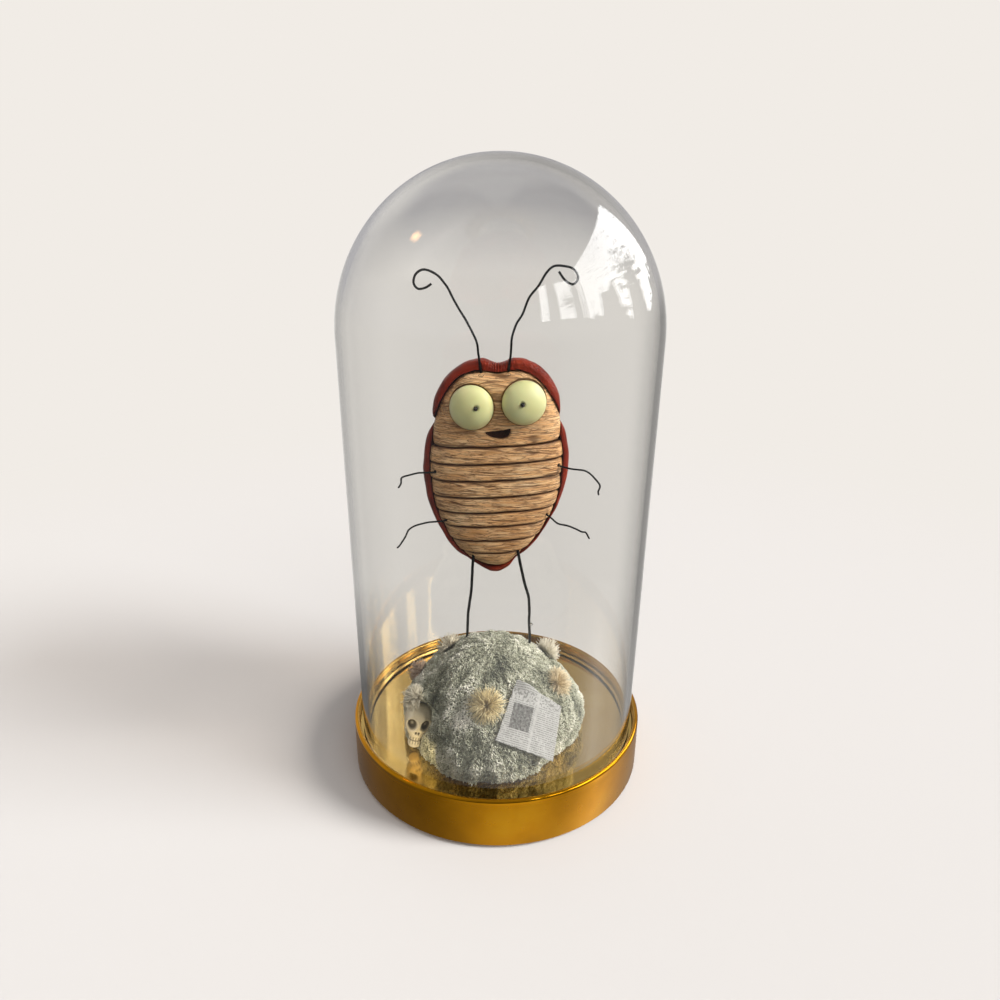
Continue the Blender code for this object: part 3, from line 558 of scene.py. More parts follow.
def red_clay():
    """Baked red clay under gloss varnish, with pressed dimples that catch the light."""
    look = finish("varnished_clay", specular_ior_level=0.22)
    cloud = look.noise(90, 4)
    body = look.ramp(cloud, (0.30, "#64190D"), (0.55, "#832814"), (0.75, "#9A3A20"))
    # Painted shade: darker under the lip next to the tan body, in the troughs of the folds and along the wing
    # seam.
    tint = look.mix(look.attribute("wash_and_shade"), body, colour("#2E0B07"))
    look.shade(base_color=tint, roughness=look.spread(cloud, 0, 1, 0.24, 0.42))
    look.bump(look.noise(1000, 2), look.spread(look.attribute("pebbled"), 0, 1, 0.12, 1.0), 0.0007)
    return look.owner


def eye_plastic():
    """Moulded glow-green plastic: soft light below the surface and a satin gloss on it."""
    look = finish(
        "glow_plastic", roughness=0.30, ior=1.49, coat_weight=0.35, coat_roughness=0.16,
        subsurface_weight=0.12, subsurface_scale=0.002)
    look.shade(base_color=look.ramp(look.noise(70, 3), (0.3, "#D4D596"), (0.7, "#E4E6AE")))
    return look.owner


def dark_gloss(name, low, high):
    """A dark glossy finish with a slow change of colour and a slightly uneven shine."""
    look = finish(name, coat_weight=0.6, coat_roughness=0.08)
    cloud = look.noise(420, 4)
    tint = look.ramp(cloud, (0.35, low), (0.70, high))
    look.shade(base_color=tint, roughness=look.spread(cloud, 0, 1, 0.12, 0.34))
    look.bump(cloud, 0.3, 0.0002)
    return look.owner


def ivory():
    """Dyed stone bead: ivory, waxy, and brown in its sockets, nostrils and between its teeth."""
    look = finish("waxed_bead", coat_weight=0.2, coat_roughness=0.25)
    cloud = look.noise(240, 4)
    body = look.ramp(cloud, (0.3, "#F3E7C4"), (0.7, "#FFF7E0"))
    tint = look.mix(look.attribute("wash_and_shade"), body, colour("#4A432F"))
    look.shade(base_color=tint, roughness=look.spread(cloud, 0, 1, 0.35, 0.55))
    return look.owner


def newsprint():
    """Thin newsprint with rows of broken grey bars for print and a mottled block for a picture."""
    look = finish("newsprint_sheet", roughness=0.9)
    sheet = look.attribute("sheet", "Vector")
    across, up = look.split(sheet)[:2]
    rows = look.math("DIVIDE", up, LINE_PITCH)
    middle = look.math("COMPARE", look.math("FRACT", rows), 0.5, 0.24)
    jump = look.math("MULTIPLY", look.math("FLOOR", rows), 17.3)
    words = look.noise(2.2, 2, look.add("CombineXYZ", [across, jump]))
    bars = look.math("MULTIPLY", middle, look.math("GREATER_THAN", words, 0.43))
    blot = look.noise(0.95, 6, sheet)
    heading = look.math("COMPARE", up, 10.2, 2.2)
    top = look.add("Mix", [heading, None, bars, look.math("GREATER_THAN", blot, 0.52)])
    gutter = look.math("COMPARE", across, 0.6, 0.55)
    printed = look.math("MULTIPLY", top, look.math("SUBTRACT", 1.0, gutter))
    tall = look.math("COMPARE", up, 1.4, 5.4)
    wide = look.math("COMPARE", across, -5.6, 4.6)
    grey = look.spread(blot, 0.3, 0.7, 1.0, 0.45)
    ink = look.math("MULTIPLY", printed, 0.50)
    dark = look.add("Mix", [look.math("MULTIPLY", tall, wide), None, ink, grey])
    look.shade(base_color=look.ramp(dark, (0.0, "#BDBEBB"), (1.0, "#41413F")))
    return look.owner


def wire_metal():
    """Annealed steel wire: black scale with a dull sheen, and a few grey spots of painted sheen."""
    look = finish("annealed_wire", metallic=0.75)
    rub_and_sheen = look.noise(320, 5)
    # Painted sheen: the grey spots stand in for the wire's highlights.
    tint = look.ramp(rub_and_sheen, (0.45, "#17191A"), (0.66, "#2B2F2E"), (0.80, "#5B605C"))
    look.shade(base_color=tint, roughness=look.spread(rub_and_sheen, 0, 1, 0.28, 0.50))
    return look.owner


# Case

def make_tray():
    rim = TRAY_RIM / 2
    inner = TRAY_RADIUS - TRAY_RIM
    profile = [(0, TRAY_FLOOR_Z), (30, TRAY_FLOOR_Z), (55, TRAY_FLOOR_Z)]
    profile += arc(inner - TRAY_FILLET, TRAY_FLOOR_Z + TRAY_FILLET, TRAY_FILLET, TRAY_FILLET, -90, 0, 8)
    profile += arc(TRAY_RADIUS - rim, TRAY_HEIGHT - rim, rim, rim, 180, 0, 18)
    profile += arc(TRAY_RADIUS - HEM_EDGE, HEM_Z + HEM_EDGE, HEM_EDGE, HEM_EDGE, 0, -90, 6)
    profile += [
        (TRAY_RADIUS - TRAY_HEM, HEM_Z), (TRAY_RADIUS - TRAY_HEM, HEM_Z + TRAY_SHEET),
        (TRAY_RADIUS - TRAY_SHEET, HEM_Z + TRAY_SHEET), (TRAY_RADIUS - TRAY_SHEET, TRAY_FLOOR_Z - TRAY_SHEET),
        (0, TRAY_FLOOR_Z - TRAY_SHEET),
    ]
    piece("tray_brass", spun(profile), brass(), "brass", "base_tray", crease=35)


def make_felt():
    profile = [(0, FELT_THICKNESS), (FELT_RADIUS - 0.2, FELT_THICKNESS), (FELT_RADIUS, FELT_THICKNESS - 0.2)]
    profile += [(FELT_RADIUS, 0.0), (0, 0.0)]
    piece("felt_disc", spun(profile), felt(), "felt", "base_felt", crease=35)


def make_dome():
    wall = GLASS_WALL
    cap = DOME_TOP_Z - DOME_SHOULDER_Z
    foot_z = TRAY_FLOOR_Z + GAP + wall / 2
    rows = np.concatenate([[0.004, 0.012], np.linspace(0.04, 0.96, 14), [0.988, 0.996]])
    down = [(1 - t, DOME_SHOULDER_Z + (foot_z - DOME_SHOULDER_Z) * t) for t in rows]
    lean = DOME_SHOULDER_RADIUS - DOME_FOOT_RADIUS
    profile = arc(0, DOME_SHOULDER_Z, DOME_SHOULDER_RADIUS, cap, 90, 0, 48)
    profile += [(DOME_FOOT_RADIUS + lean * up, z) for up, z in down]
    profile += arc(DOME_FOOT_RADIUS - wall / 2, foot_z, wall / 2, wall / 2, 0, -180, 16)
    profile += [(DOME_FOOT_RADIUS - wall + lean * up, z) for up, z in reversed(down)]
    profile += arc(0, DOME_SHOULDER_Z, DOME_SHOULDER_RADIUS - wall, cap - wall, 0, 90, 48)
    profile[0] = (0, DOME_TOP_Z)
    profile[-1] = (0, DOME_TOP_Z - wall)
    piece("dome_glass", spun(profile), glass(), "glass", "glass_dome")


# Figure

def strip_tilt(height):
    """The grooves rise to the right, and level out towards the tip of the belly."""
    tip = BELLY_STATIONS[0][0]
    return STRIP_TILT * min((height - tip) / (LEVELLING_Z - tip), 1.0)


def section(stations, height, u, inset):
    """A spot (x, front) on a body section, and the way out of it there."""
    left, right = hermite(stations, height)
    half = (right - left) / 2
    depth = max(BODY_DEPTH * (max(half, 0) / BODY_WIDEST) ** BODY_FALL - inset, 0.6)
    half = max(half - inset, 0.8)
    if u < FRONT_SHARE:
        angle = math.pi * u / FRONT_SHARE
        c = math.cos(angle)
        s = abs(math.sin(angle))
        x = half * math.copysign(abs(c) ** ROUNDNESS, c)
        return (left + right) / 2, x, depth * s ** ROUNDNESS, Vector((c / half, -s / depth)).normalized()
    x = half * (2 * (u - FRONT_SHARE) / (1 - FRONT_SHARE) - 1)
    return (left + right) / 2, x, 0.0, Vector((0, 0))


def scored(x, z, seed):
    """From 0 to 1, how deep the clay is scored, in long wandering lines along X."""
    drift = 0.6 * wave(x / 20, z / 12, seed)
    fine = abs(wave(x / 16, (z + drift) / 0.85, seed))
    coarse = abs(wave(x / 40, (z + drift) / 1.9, seed + 7))
    here = wave(x / 9, z / 1.8, seed + 3)
    deep = 0.9 * smooth(0.08, 0.015, coarse) * smooth(-0.30, 0.15, here)
    return max(deep, 0.85 * smooth(0.13, 0.03, fine) * smooth(-0.45, 0.10, here))


def rounding(distance, radius):
    """How far a rounded edge has drawn in, at a distance from the edge."""
    if distance >= radius:
        return 0.0
    return radius - math.sqrt(max(radius**2 - (radius - max(distance, 0.0)) ** 2, 0.0))


def hole(spot):
    """How far a spot sinks where a wire goes into the clay."""
    depth = 0.0
    for name in WIRES:
        inner = Vector(WIRES[name][1][0])
        outer = Vector(WIRES[name][1][1])
        along = (outer - inner).normalized()
        past = (spot - inner).dot(along)
        if past > 0 and (spot - outer).length < 9:
            aside = (spot - inner - along * past).length
            depth = max(depth, smooth(HOLE_RADIUS, 0.5 * HOLE_RADIUS, aside))
    return depth


def make_strips(finish):
    """Eight overlapping strips of clay with rounded edges and wandering grooves between them, with painted
    shade along the grooves and in the wire holes.
    """
    ends = list(GROOVE_HEIGHTS) + [BELLY_STATIONS[0][0]]
    for number in range(1, len(ends)):
        top = ends[number - 1] - GAP / 2
        bottom = ends[number] + GAP / 2
        tip = number == len(ends) - 1

        def place(u, v, top=top, bottom=bottom, tip=tip, number=number):
            height = bottom + (top - bottom) * v
            low_edge = height - bottom
            high_edge = top - height
            inset = max(rounding(low_edge, 2.4 if tip else 1.25), rounding(high_edge, 1.5))
            centre, x, front, out = section(BELLY_STATIONS, height, u, inset)
            wander_high = 0.30 * wave(x / 8, number * 5.1, 0)
            wander_low = 0.30 * wave(x / 8, (number + 1) * 5.1, 0)
            z = height + x * strip_tilt(height) + wander_low * (1 - v) + wander_high * v
            line = scored(x, z, number * 3.7) if front > 0 else 0.0
            lump = 0.35 * wave(x / 10, z / 5, number)
            rise = 0.40 * (1 - v) - 0.34 * line + lump
            spot = Vector((centre + x + out.x * rise, BACK_Y - front + out.y * rise, z))
            sunk = hole(spot) if front > 0 else 0.0
            spot.y += 0.9 * sunk
            # Painted shade: the clay darkens towards each groove between strips and in the wire holes.
            groove = max(1.1 - low_edge / 0.8, 1.1 - high_edge / 0.8, 0.0)
            return spot, min(max(0.90 * line, groove, sunk), 1.0)

        piece(f"clay_strip_{number}", skin(140, 54, place), finish, "tan_clay", f"belly_strip_{number}")


def mouth_ring():
    points = [Vector(point) for point in MOUTH_POINTS]
    return smooth_route(points + points[:1], 0.7)[:-1]


def inside_depth(ring, x, z):
    """How far inside a ring of (x, z) points a spot lies, or 0 outside it."""
    inside = False
    nearest = 99.0
    for start, end in zip(ring, ring[1:] + ring[:1]):
        across = (start.y > z) != (end.y > z)
        if across and x < (end.x - start.x) * (z - start.y) / (end.y - start.y) + start.x:
            inside = not inside
        edge = end - start
        t = min(max((Vector((x, z)) - start).dot(edge) / edge.length_squared, 0.0), 1.0)
        nearest = min(nearest, (Vector((x, z)) - start - edge * t).length)
    return nearest if inside else 0.0


def make_head(finish):
    """The face: scored clay with a seat for each eye and a pocket for the mouth, with painted shade round the
    eyes, along the bottom groove and in the wire holes.
    """
    ring = mouth_ring()
    bottom = GROOVE_HEIGHTS[0] + GAP / 2
    top = HEAD_STATIONS[-1][0]

    def place(u, v):
        height = bottom + (top - bottom) * (1 - (1 - v) ** 1.15)
        low_edge = height - bottom
        inset = max(rounding(low_edge, 1.2), rounding(top - height, 3.2))
        centre, x, front, out = section(HEAD_STATIONS, height, u, inset)
        fall = HEAD_DIP * smooth(DIP_HEIGHT, 0.0, top - height) * math.exp(-((x - 0.8) / DIP_WIDTH) ** 2)
        wander = 0.30 * wave(x / 8, 5.1, 0) * (1 - v)
        z = height + x * strip_tilt(height) - fall + wander
        arch = 0.016 * x * x * smooth(166, 184, height)
        swirl = 2.2 * wave(x / 9, z / 9, 2.0) * smooth(162, 176, height)
        line = scored(x, z + arch + swirl, 0.0) if front > 0 else 0.0
        rise = 0.3 * (1 - smooth(0, 5, low_edge)) - 0.26 * line + 0.3 * wave(x / 9, z / 7, 4)
        spot = Vector((centre + x + out.x * rise, BACK_Y - front + out.y * rise, z))
        if front <= 0:
            return spot, 0.0
        wash_and_shade = 0.85 * line
        for middle, turn in EYES.values():
            away = math.hypot(spot.x - middle.x, spot.z - middle.z) - EYE_RADIUS
            spot.y += 1.2 * smooth(0.35, -0.3, away)
            # Painted shade: a thin dark ring round each eye.
            wash_and_shade = max(wash_and_shade, 0.85 * smooth(0.45, 0.05, away))
        if -7.5 < spot.x < 6 and 160 < spot.z < 167:
            depth = inside_depth(ring, spot.x, spot.z)
            spot.y += MOUTH_DEPTH * smooth(0.0, 0.55, depth)
            wash_and_shade = max(wash_and_shade, smooth(0.0, 0.4, depth))
        # Painted shade in the wire holes and towards the groove at the bottom.
        sunk = hole(spot)
        spot.y += 0.8 * sunk
        groove = max(1.1 - low_edge / 0.8, 0.0)
        return spot, min(max(wash_and_shade, groove, sunk), 1.0)

    piece("clay_head", skin(210, 200, place), finish, "tan_clay", "head")


def reach_table(stations, centre, dip, tilt):
    """How far an outline reaches from a centre, one value for each half degree."""
    rows = np.linspace(stations[0][0], stations[-1][0], 240)
    left = [(hermite(stations, z)[0], z) for z in rows]
    right = [(hermite(stations, z)[1], z) for z in rows]
    top = [(x, rows[-1]) for x in np.linspace(right[-1][0], left[-1][0], 24)]
    base = [(x, rows[0]) for x in np.linspace(left[0][0], right[0][0], 24)]
    points = np.array(right + top + left[::-1] + base)
    points[:, 1] += (points[:, 0] - centre[0]) * tilt
    if dip:
        rise = np.clip(1 - (rows[-1] - points[:, 1]) / DIP_HEIGHT, 0, 1)
        points[:, 1] -= dip * rise * np.exp(-(((points[:, 0] - DIP_X) / DIP_WIDTH) ** 2))
    offset = points - np.array(centre)
    angles = np.degrees(np.arctan2(offset[:, 1], offset[:, 0])) % 360
    reaches = np.hypot(offset[:, 0], offset[:, 1])
    order = np.argsort(angles)
    table = np.interp(np.arange(0, 360, 0.5), angles[order], reaches[order], period=360)
    kernel = np.ones(7) / 7
    return np.convolve(np.concatenate([table[-3:], table, table[:3]]), kernel, mode="valid")


def reach_at(table, angle):
    place = math.degrees(angle) % 360 * 2
    index = int(place)
    share = place - index
    return table[index % 720] * (1 - share) + table[(index + 1) % 720] * share


def wire_bed(spot):
    """The depth of the groove that an antenna lies in, or far in front where there is none."""
    bed = -99.0
    for name in ("antenna_left", "antenna_right"):
        low = Vector(WIRES[name][1][1])
        high = Vector(WIRES[name][1][2])
        along = low.lerp(high, (spot.z - low.z) / (high.z - low.z))
        if abs(spot.x - along.x) < 1.4:
            bed = along.y + 0.3 - 2.2 * smooth(0.6, 1.4, abs(spot.x - along.x))
    return bed


def make_shell(name, node, stations, lip, depth, dip, finish):
    """A red piece: a rounded lip round the tan body in front, and a dome behind, with painted shade under the
    lip, in its folds and along its seam.
    """
    low, high = stations[0][0], stations[-1][0]
    centre = ((stations[0][1] + stations[0][2]) / 2, (low + high) / 2)
    edge = reach_table(stations, centre, dip, SHELL_TILT)
    body_stations = BELLY_STATIONS[:-1] + ((157.6, -30.0, 27.4),) + HEAD_STATIONS[1:]
    body = reach_table(body_stations, centre, HEAD_DIP, SHELL_TILT)
    widest = max(edge)
    bm = bmesh.new()
    layer = bm.verts.layers.float.new("wash_and_shade")
    grainy = bm.verts.layers.float.new("pebbled")
    bmesh.ops.create_uvsphere(bm, u_segments=400 if dip else 240, v_segments=110, radius=1)
    for vert in bm.verts:
        angle = math.atan2(vert.co.y, vert.co.x)
        tip_over = math.acos(min(max(vert.co.z, -1.0), 1.0)) / (math.pi / 2)
        reach = reach_at(edge, angle)
        if tip_over <= 1:
            share = tip_over * 2.4 if tip_over < 0.25 else 0.6 + 0.4 * (tip_over - 0.25) / 0.75
            from_edge = (1 - share) * reach
            held = max(1 - from_edge / 2.8, 0.0)
            y = BACK_Y - lip * math.sqrt(max(1 - held**2, 0.0))
            covered = smooth(0.55, 0.0, share * reach - reach_at(body, angle))
            y += (BACK_Y + 0.5 - y) * covered
        else:
            share = math.sin((2 - tip_over) * math.pi / 2)
            y = BACK_Y + depth * (1 - share**2.4) ** (1 / 2.4)
            from_edge = (1 - share) * reach
            covered = 0.0
        x = centre[0] + share * reach * math.cos(angle)
        z = centre[1] + share * reach * math.sin(angle)
        away = -1 if tip_over <= 1 else 1
        out = Vector((math.cos(angle) * share, away, math.sin(angle) * share)).normalized()
        uneven = 0.45 * wave(x / 6, y / 6, z / 6)
        # Painted shade: darker under the lip where the tan body covers the shell.
        wash_and_shade = 0.75 * covered
        if dip:
            pucker = math.exp(-((x - DIP_X) / 7) ** 2) * smooth(0.62, 0.9, share)
            fold = math.sin(x * 5.6 + 2.5 * wave(x / 3, z / 4, 1))
            uneven += 0.26 * pucker * fold
            # Painted shade in the troughs of the folds.
            wash_and_shade = max(wash_and_shade, 0.45 * pucker * max(-fold, 0.0))
            right_grain = smooth(2, 7, x) * smooth(178, 185, z)
            vert[grainy] = max(right_grain, 0.5 * smooth(-12, -2, x) * smooth(187, 190, z))
            uneven += 0.12 * vert[grainy] * noise.noise(Vector((x, y, z)) / 1.3)
        elif tip_over > 1:
            seam = math.exp(-(((x - centre[0]) / 1.0) ** 2))
            uneven -= 0.9 * seam
            # Painted shade along the sunk seam down the wing case.
            wash_and_shade = max(wash_and_shade, 0.8 * seam)
        vert.co = Vector((x, y, z)) + out * uneven * smooth(0, 1.5, widest * share)
        if dip and tip_over <= 1 and z > 184:
            vert.co.y = max(vert.co.y, wire_bed(vert.co))
        vert[layer] = min(wash_and_shade, 1.0)
    bmesh.ops.recalc_face_normals(bm, faces=bm.faces)
    piece(name, bm, finish, "red_clay", node)


def ball(bm, radii, place, segments, rings, turn=Matrix.Identity(4)):
    bmesh.ops.create_uvsphere(
        bm, u_segments=segments, v_segments=rings, radius=1,
        matrix=Matrix.Translation(place) @ turn @ Matrix.Diagonal((*radii, 1)))


def make_eyes():
    plastic = eye_plastic()
    bead = dark_gloss("jet_bead", "#060606", "#151414")
    for side, (centre, turned) in EYES.items():
        bm = bmesh.new()
        turn = Matrix.Rotation(math.radians(turned), 4, "Z") @ Matrix.Rotation(math.radians(90), 4, "X")
        ball(bm, (EYE_RADIUS, EYE_RADIUS, EYE_DOME), centre, 96, 64, turn)
        seat = PUPILS[side]
        for vert in bm.verts:
            near = math.hypot(vert.co.x - seat.x, vert.co.z - seat.z)
            if vert.co.y < centre.y:
                vert.co.y += 0.5 * smooth(1.5, 0.9, near)
        piece(f"glow_eye_{side}", bm, plastic, "eye", f"eye_{side}")
        pupil = bmesh.new()
        ball(pupil, [PUPIL_RADIUS] * 3, seat, 32, 20)
        piece(f"jet_pupil_{side}", pupil, bead, "pupil", f"pupil_{side}")


def make_mouth():
    """The glossy dark plate at the bottom of the mouth, dished and thumbed."""
    ring = mouth_ring()
    bm = bmesh.new()
    face = bm.faces.new([bm.verts.new((point.x, MOUTH_FRONT_Y, point.y)) for point in ring])
    for step in range(4):
        bmesh.ops.inset_region(bm, faces=[face], thickness=0.32)
        bmesh.ops.translate(bm, verts=face.verts, vec=(0, 0.26 if step else -0.12, 0))
    body = bmesh.ops.extrude_face_region(bm, geom=bm.faces[:])
    moved = [item for item in body["geom"] if isinstance(item, bmesh.types.BMVert)]
    for vert in moved:
        vert.co.y = MOUTH_FRONT_Y + MOUTH_DEPTH - GAP
    bmesh.ops.recalc_face_normals(bm, faces=bm.faces)
    piece("mouth_plate", bm, dark_gloss("brown_gloss", "#1D0E09", "#3B2016"), "mouth", "mouth", crease=50)


def make_wires():
    metal = wire_metal()
    for name, (radius, given) in WIRES.items():
        points = [Vector(point) for point in given]
        route = [points[0]] + smooth_route(points[1:], radius * 1.5)
        curve = bpy.data.curves.new(name, "CURVE")
        curve.dimensions = "3D"
        curve.bevel_depth = radius
        curve.bevel_resolution = 4
        curve.use_fill_caps = True
        spline = curve.splines.new("POLY")
        spline.points.add(len(route) - 1)
        for index, (spot, point) in enumerate(zip(spline.points, route)):
            shake = noise.noise_vector(point / 5.0) * 0.16 * smooth(1, 5, index)
            spot.co = (*(point + shake), 1)
            spot.radius = 1 + 0.06 * noise.noise(point / 1.5)
        guide = placed(name + "_guide", curve)
        mesh = bpy.data.meshes.new_from_object(guide.evaluated_get(bpy.context.evaluated_depsgraph_get()))
        bpy.data.objects.remove(guide)
        bm = bmesh.new()
        bm.from_mesh(mesh)
        bmesh.ops.remove_doubles(bm, verts=bm.verts, dist=WELD)
        bmesh.ops.recalc_face_normals(bm, faces=bm.faces)
        piece(f"wire_{name}", bm, metal, "wire", name, crease=50)


def make_glue():
    """Three small beads of clear glue, at the antennae's feet and on the right leg."""
    bm = bmesh.new()
    for place, radii in (
        (Vector((-8.0, -1.0, 187.9)), (1.2, 1.0, 0.7)), (Vector((3.5, -1.0, 188.4)), (1.2, 1.0, 0.7)),
        (Vector((16.5, 3.4, 66.4)), (0.75, 0.7, 0.8)),
    ):
        ball(bm, radii, place, 20, 12)
    piece("glue_beads", bm, bpy.data.materials["blown_glass"], "glass")


# Mound

def paper_axes():
    right = PAPER_UP.cross(PAPER_NORMAL).normalized()
    return right, PAPER_NORMAL.cross(right), PAPER_NORMAL


def mound_point(aim, grow):
    """A point of the mound's surface, for a direction from its middle."""
    aim = aim.normalized()
    point = Vector((aim.x * MOUND_RADII.x, aim.y * MOUND_RADII.y, aim.z * MOUND_RADII.z))
    swell = MOUND_GRAIN * noise.noise(point / MOUND_GRAIN_SIZE)
    point = MOUND_CENTRE + point + aim * (swell + swells(aim, MOUND_LOBES) + grow)
    right, up, normal = paper_axes()
    offset = point - PAPER_CENTRE
    above = offset.dot(normal) - grow
    aside = math.hypot(offset.dot(right), offset.dot(up))
    pressed = -offset.dot(right) ** 2 / (2 * PAPER_BEND_RADIUS) - PAPER_THICKNESS - GAP * 2
    if aside < PRESS_MARGIN and above > pressed:
        point -= normal * (above - pressed)
    return point


def skull_placing():
    turn = Matrix.Identity(4)
    for axis, angle in SKULL_TURNS:
        turn = turn @ Matrix.Rotation(math.radians(angle), 4, axis)
    return Matrix.Translation(SKULL_PLACE) @ turn


def skull_hides(point, into_skull):
    """Whether a point lies in the skull, or in front of its face and above."""
    if (point - SKULL_PLACE - Vector((0, 0, 9))).length > 21:
        return False
    for step in range(14):
        spot = into_skull @ (point - SKULL_LOOK * step)
        if -3 < spot.z < SKULL_SECTIONS[-1][0]:
            half, front, back = hermite(SKULL_SECTIONS, spot.z)
            if spot.x < 0:
                spot.x *= 0.45
            deep = (spot.y - (front + back) / 2) / ((back - front) / 2 + 0.6)
            if math.hypot(spot.x / (half + 0.9), deep) < 1:
                return True
    return False


def clear_of_skull(point, into_skull):
    """The same point, or one further into the mound where the skull lies."""
    inward = (MOUND_CENTRE - point).normalized()
    for step in range(30):
        if not skull_hides(point, into_skull):
            break
        point = point + inward * 0.5
    return point


def clumps(point):
    """How far the flock stands up here, in clumps that run down the mound."""
    turn = math.atan2(point.y - MOUND_CENTRE.y, point.x - MOUND_CENTRE.x)
    down = wave(math.cos(turn) * 9, math.sin(turn) * 9, point.z / 14)
    rocky = noise.noise(point / 8)
    small = noise.noise(point / 2.2)
    stand = 1.8 * down + 1.1 * rocky + 1.2 * small
    return stand + swells((point - MOUND_CENTRE).normalized(), FLOCK_FOLDS)


def make_mound():
    bm = bmesh.new()
    bmesh.ops.create_icosphere(bm, subdivisions=6, radius=1)
    into_skull = skull_placing().inverted()
    for vert in bm.verts:
        base = mound_point(vert.co, -FLOCK_DEPTH)
        vert.co = clear_of_skull(base + vert.co.normalized() * 0.6 * clumps(base), into_skull)
    bmesh.ops.bisect_plane(
        bm, geom=bm.verts[:] + bm.edges[:] + bm.faces[:], plane_co=(0, 0, TRAY_FLOOR_Z + GAP),
        plane_no=(0, 0, 1), clear_inner=True)
    bmesh.ops.contextual_create(bm, geom=[edge for edge in bm.edges if edge.is_boundary])
    piece("mound_ground", bm, rock(), "flock", "mound", crease=70)


def planted(name, template, roots, aims, lengths, widths, bends, tones, finish, slot, *nodes):
    """Copies of a small upright shape, one unit high, planted at the roots and joined in one mesh."""
    corners = np.array([vert.co[:] for vert in template.verts])
    faces = np.array([[vert.index for vert in face.verts] for face in template.faces])
    template.free()
    side = np.cross(aims, np.array((0.31, 0.17, 0.94)))
    side /= np.linalg.norm(side, axis=1)[:, None]
    other = np.cross(aims, side)
    points = roots[:, None, :] + corners[None, :, 2, None] * (aims * lengths[:, None])[:, None, :]
    points = points + corners[None, :, 0, None] * (side * widths[:, None])[:, None, :]
    points = points + corners[None, :, 1, None] * (other * widths[:, None])[:, None, :]
    points = points + corners[None, :, 2, None] ** 2 * bends[:, None, :]
    shift = np.arange(len(roots))[:, None, None] * len(corners)
    mesh = bpy.data.meshes.new(name)
    joined = (faces[None] + shift).reshape(-1, faces.shape[1])
    mesh.from_pydata(points.reshape(-1, 3).tolist(), [], joined.tolist())
    # Painted shade: each copy is darker at its root, where the copies crowd, and lighter towards its tip.
    shade = np.clip(tones[:, None] + 0.30 * (corners[None, :, 2] - 0.45), 0, 1).astype(np.float32)
    mesh.attributes.new("tone", "FLOAT", "POINT").data.foreach_set("value", shade.ravel())
    return piece(name, mesh, finish, slot, *nodes)


def make_flock():
    """Two coats of small pointed grains, leaning out of the mound in frosted clumps."""
    rng = np.random.default_rng(11)
    finish = flock()
    into_skull = skull_placing().inverted()
    for coat in (1, 2):
        roots, aims, tones = [], [], []
        while len(roots) < FLOCK_COUNT:
            aim = Vector(rng.normal(size=3)).normalized()
            point = mound_point(aim, -FLOCK_DEPTH)
            if point.z < TRAY_FLOOR_Z + 0.9:
                continue
            if any((point - tuft[0]).length < 0.88 * tuft[1] for tuft in TUFTS):
                continue
            stand = clumps(point)
            point = clear_of_skull(point + aim * 0.6 * stand, into_skull)
            out = Vector((aim.x / MOUND_RADII.x, aim.y / MOUND_RADII.y, aim.z / MOUND_RADII.z)).normalized()
            lean = out + Vector(rng.normal(size=3)) * 0.42
            # Painted shade: flock standing up in clumps is lighter and the hollows between clumps darker.
            tone = 0.46 + 0.15 * stand + rng.normal() * 0.07 + swells(aim, FLOCK_PATCHES)
            tone += 0.28 * noise.noise(point / 8) + 0.26 * noise.noise(point / 1.5)
            roots.append(point[:])
            aims.append(lean.normalized()[:])
            tones.append(tone)
        template = bmesh.new()
        bmesh.ops.create_uvsphere(template, u_segments=4, v_segments=2, radius=1)
        bmesh.ops.scale(template, vec=(1, 1, 0.5), verts=template.verts)
        bmesh.ops.translate(template, vec=(0, 0, 0.5), verts=template.verts)
        bmesh.ops.triangulate(template, faces=template.faces)
        count = len(roots)
        planted(
            f"mound_flock_{coat}", template, np.array(roots), np.array(aims), rng.uniform(0.8, 1.7, count),
            rng.uniform(0.28, 0.52, count), np.zeros((count, 3)), np.array(tones), finish, "flock")


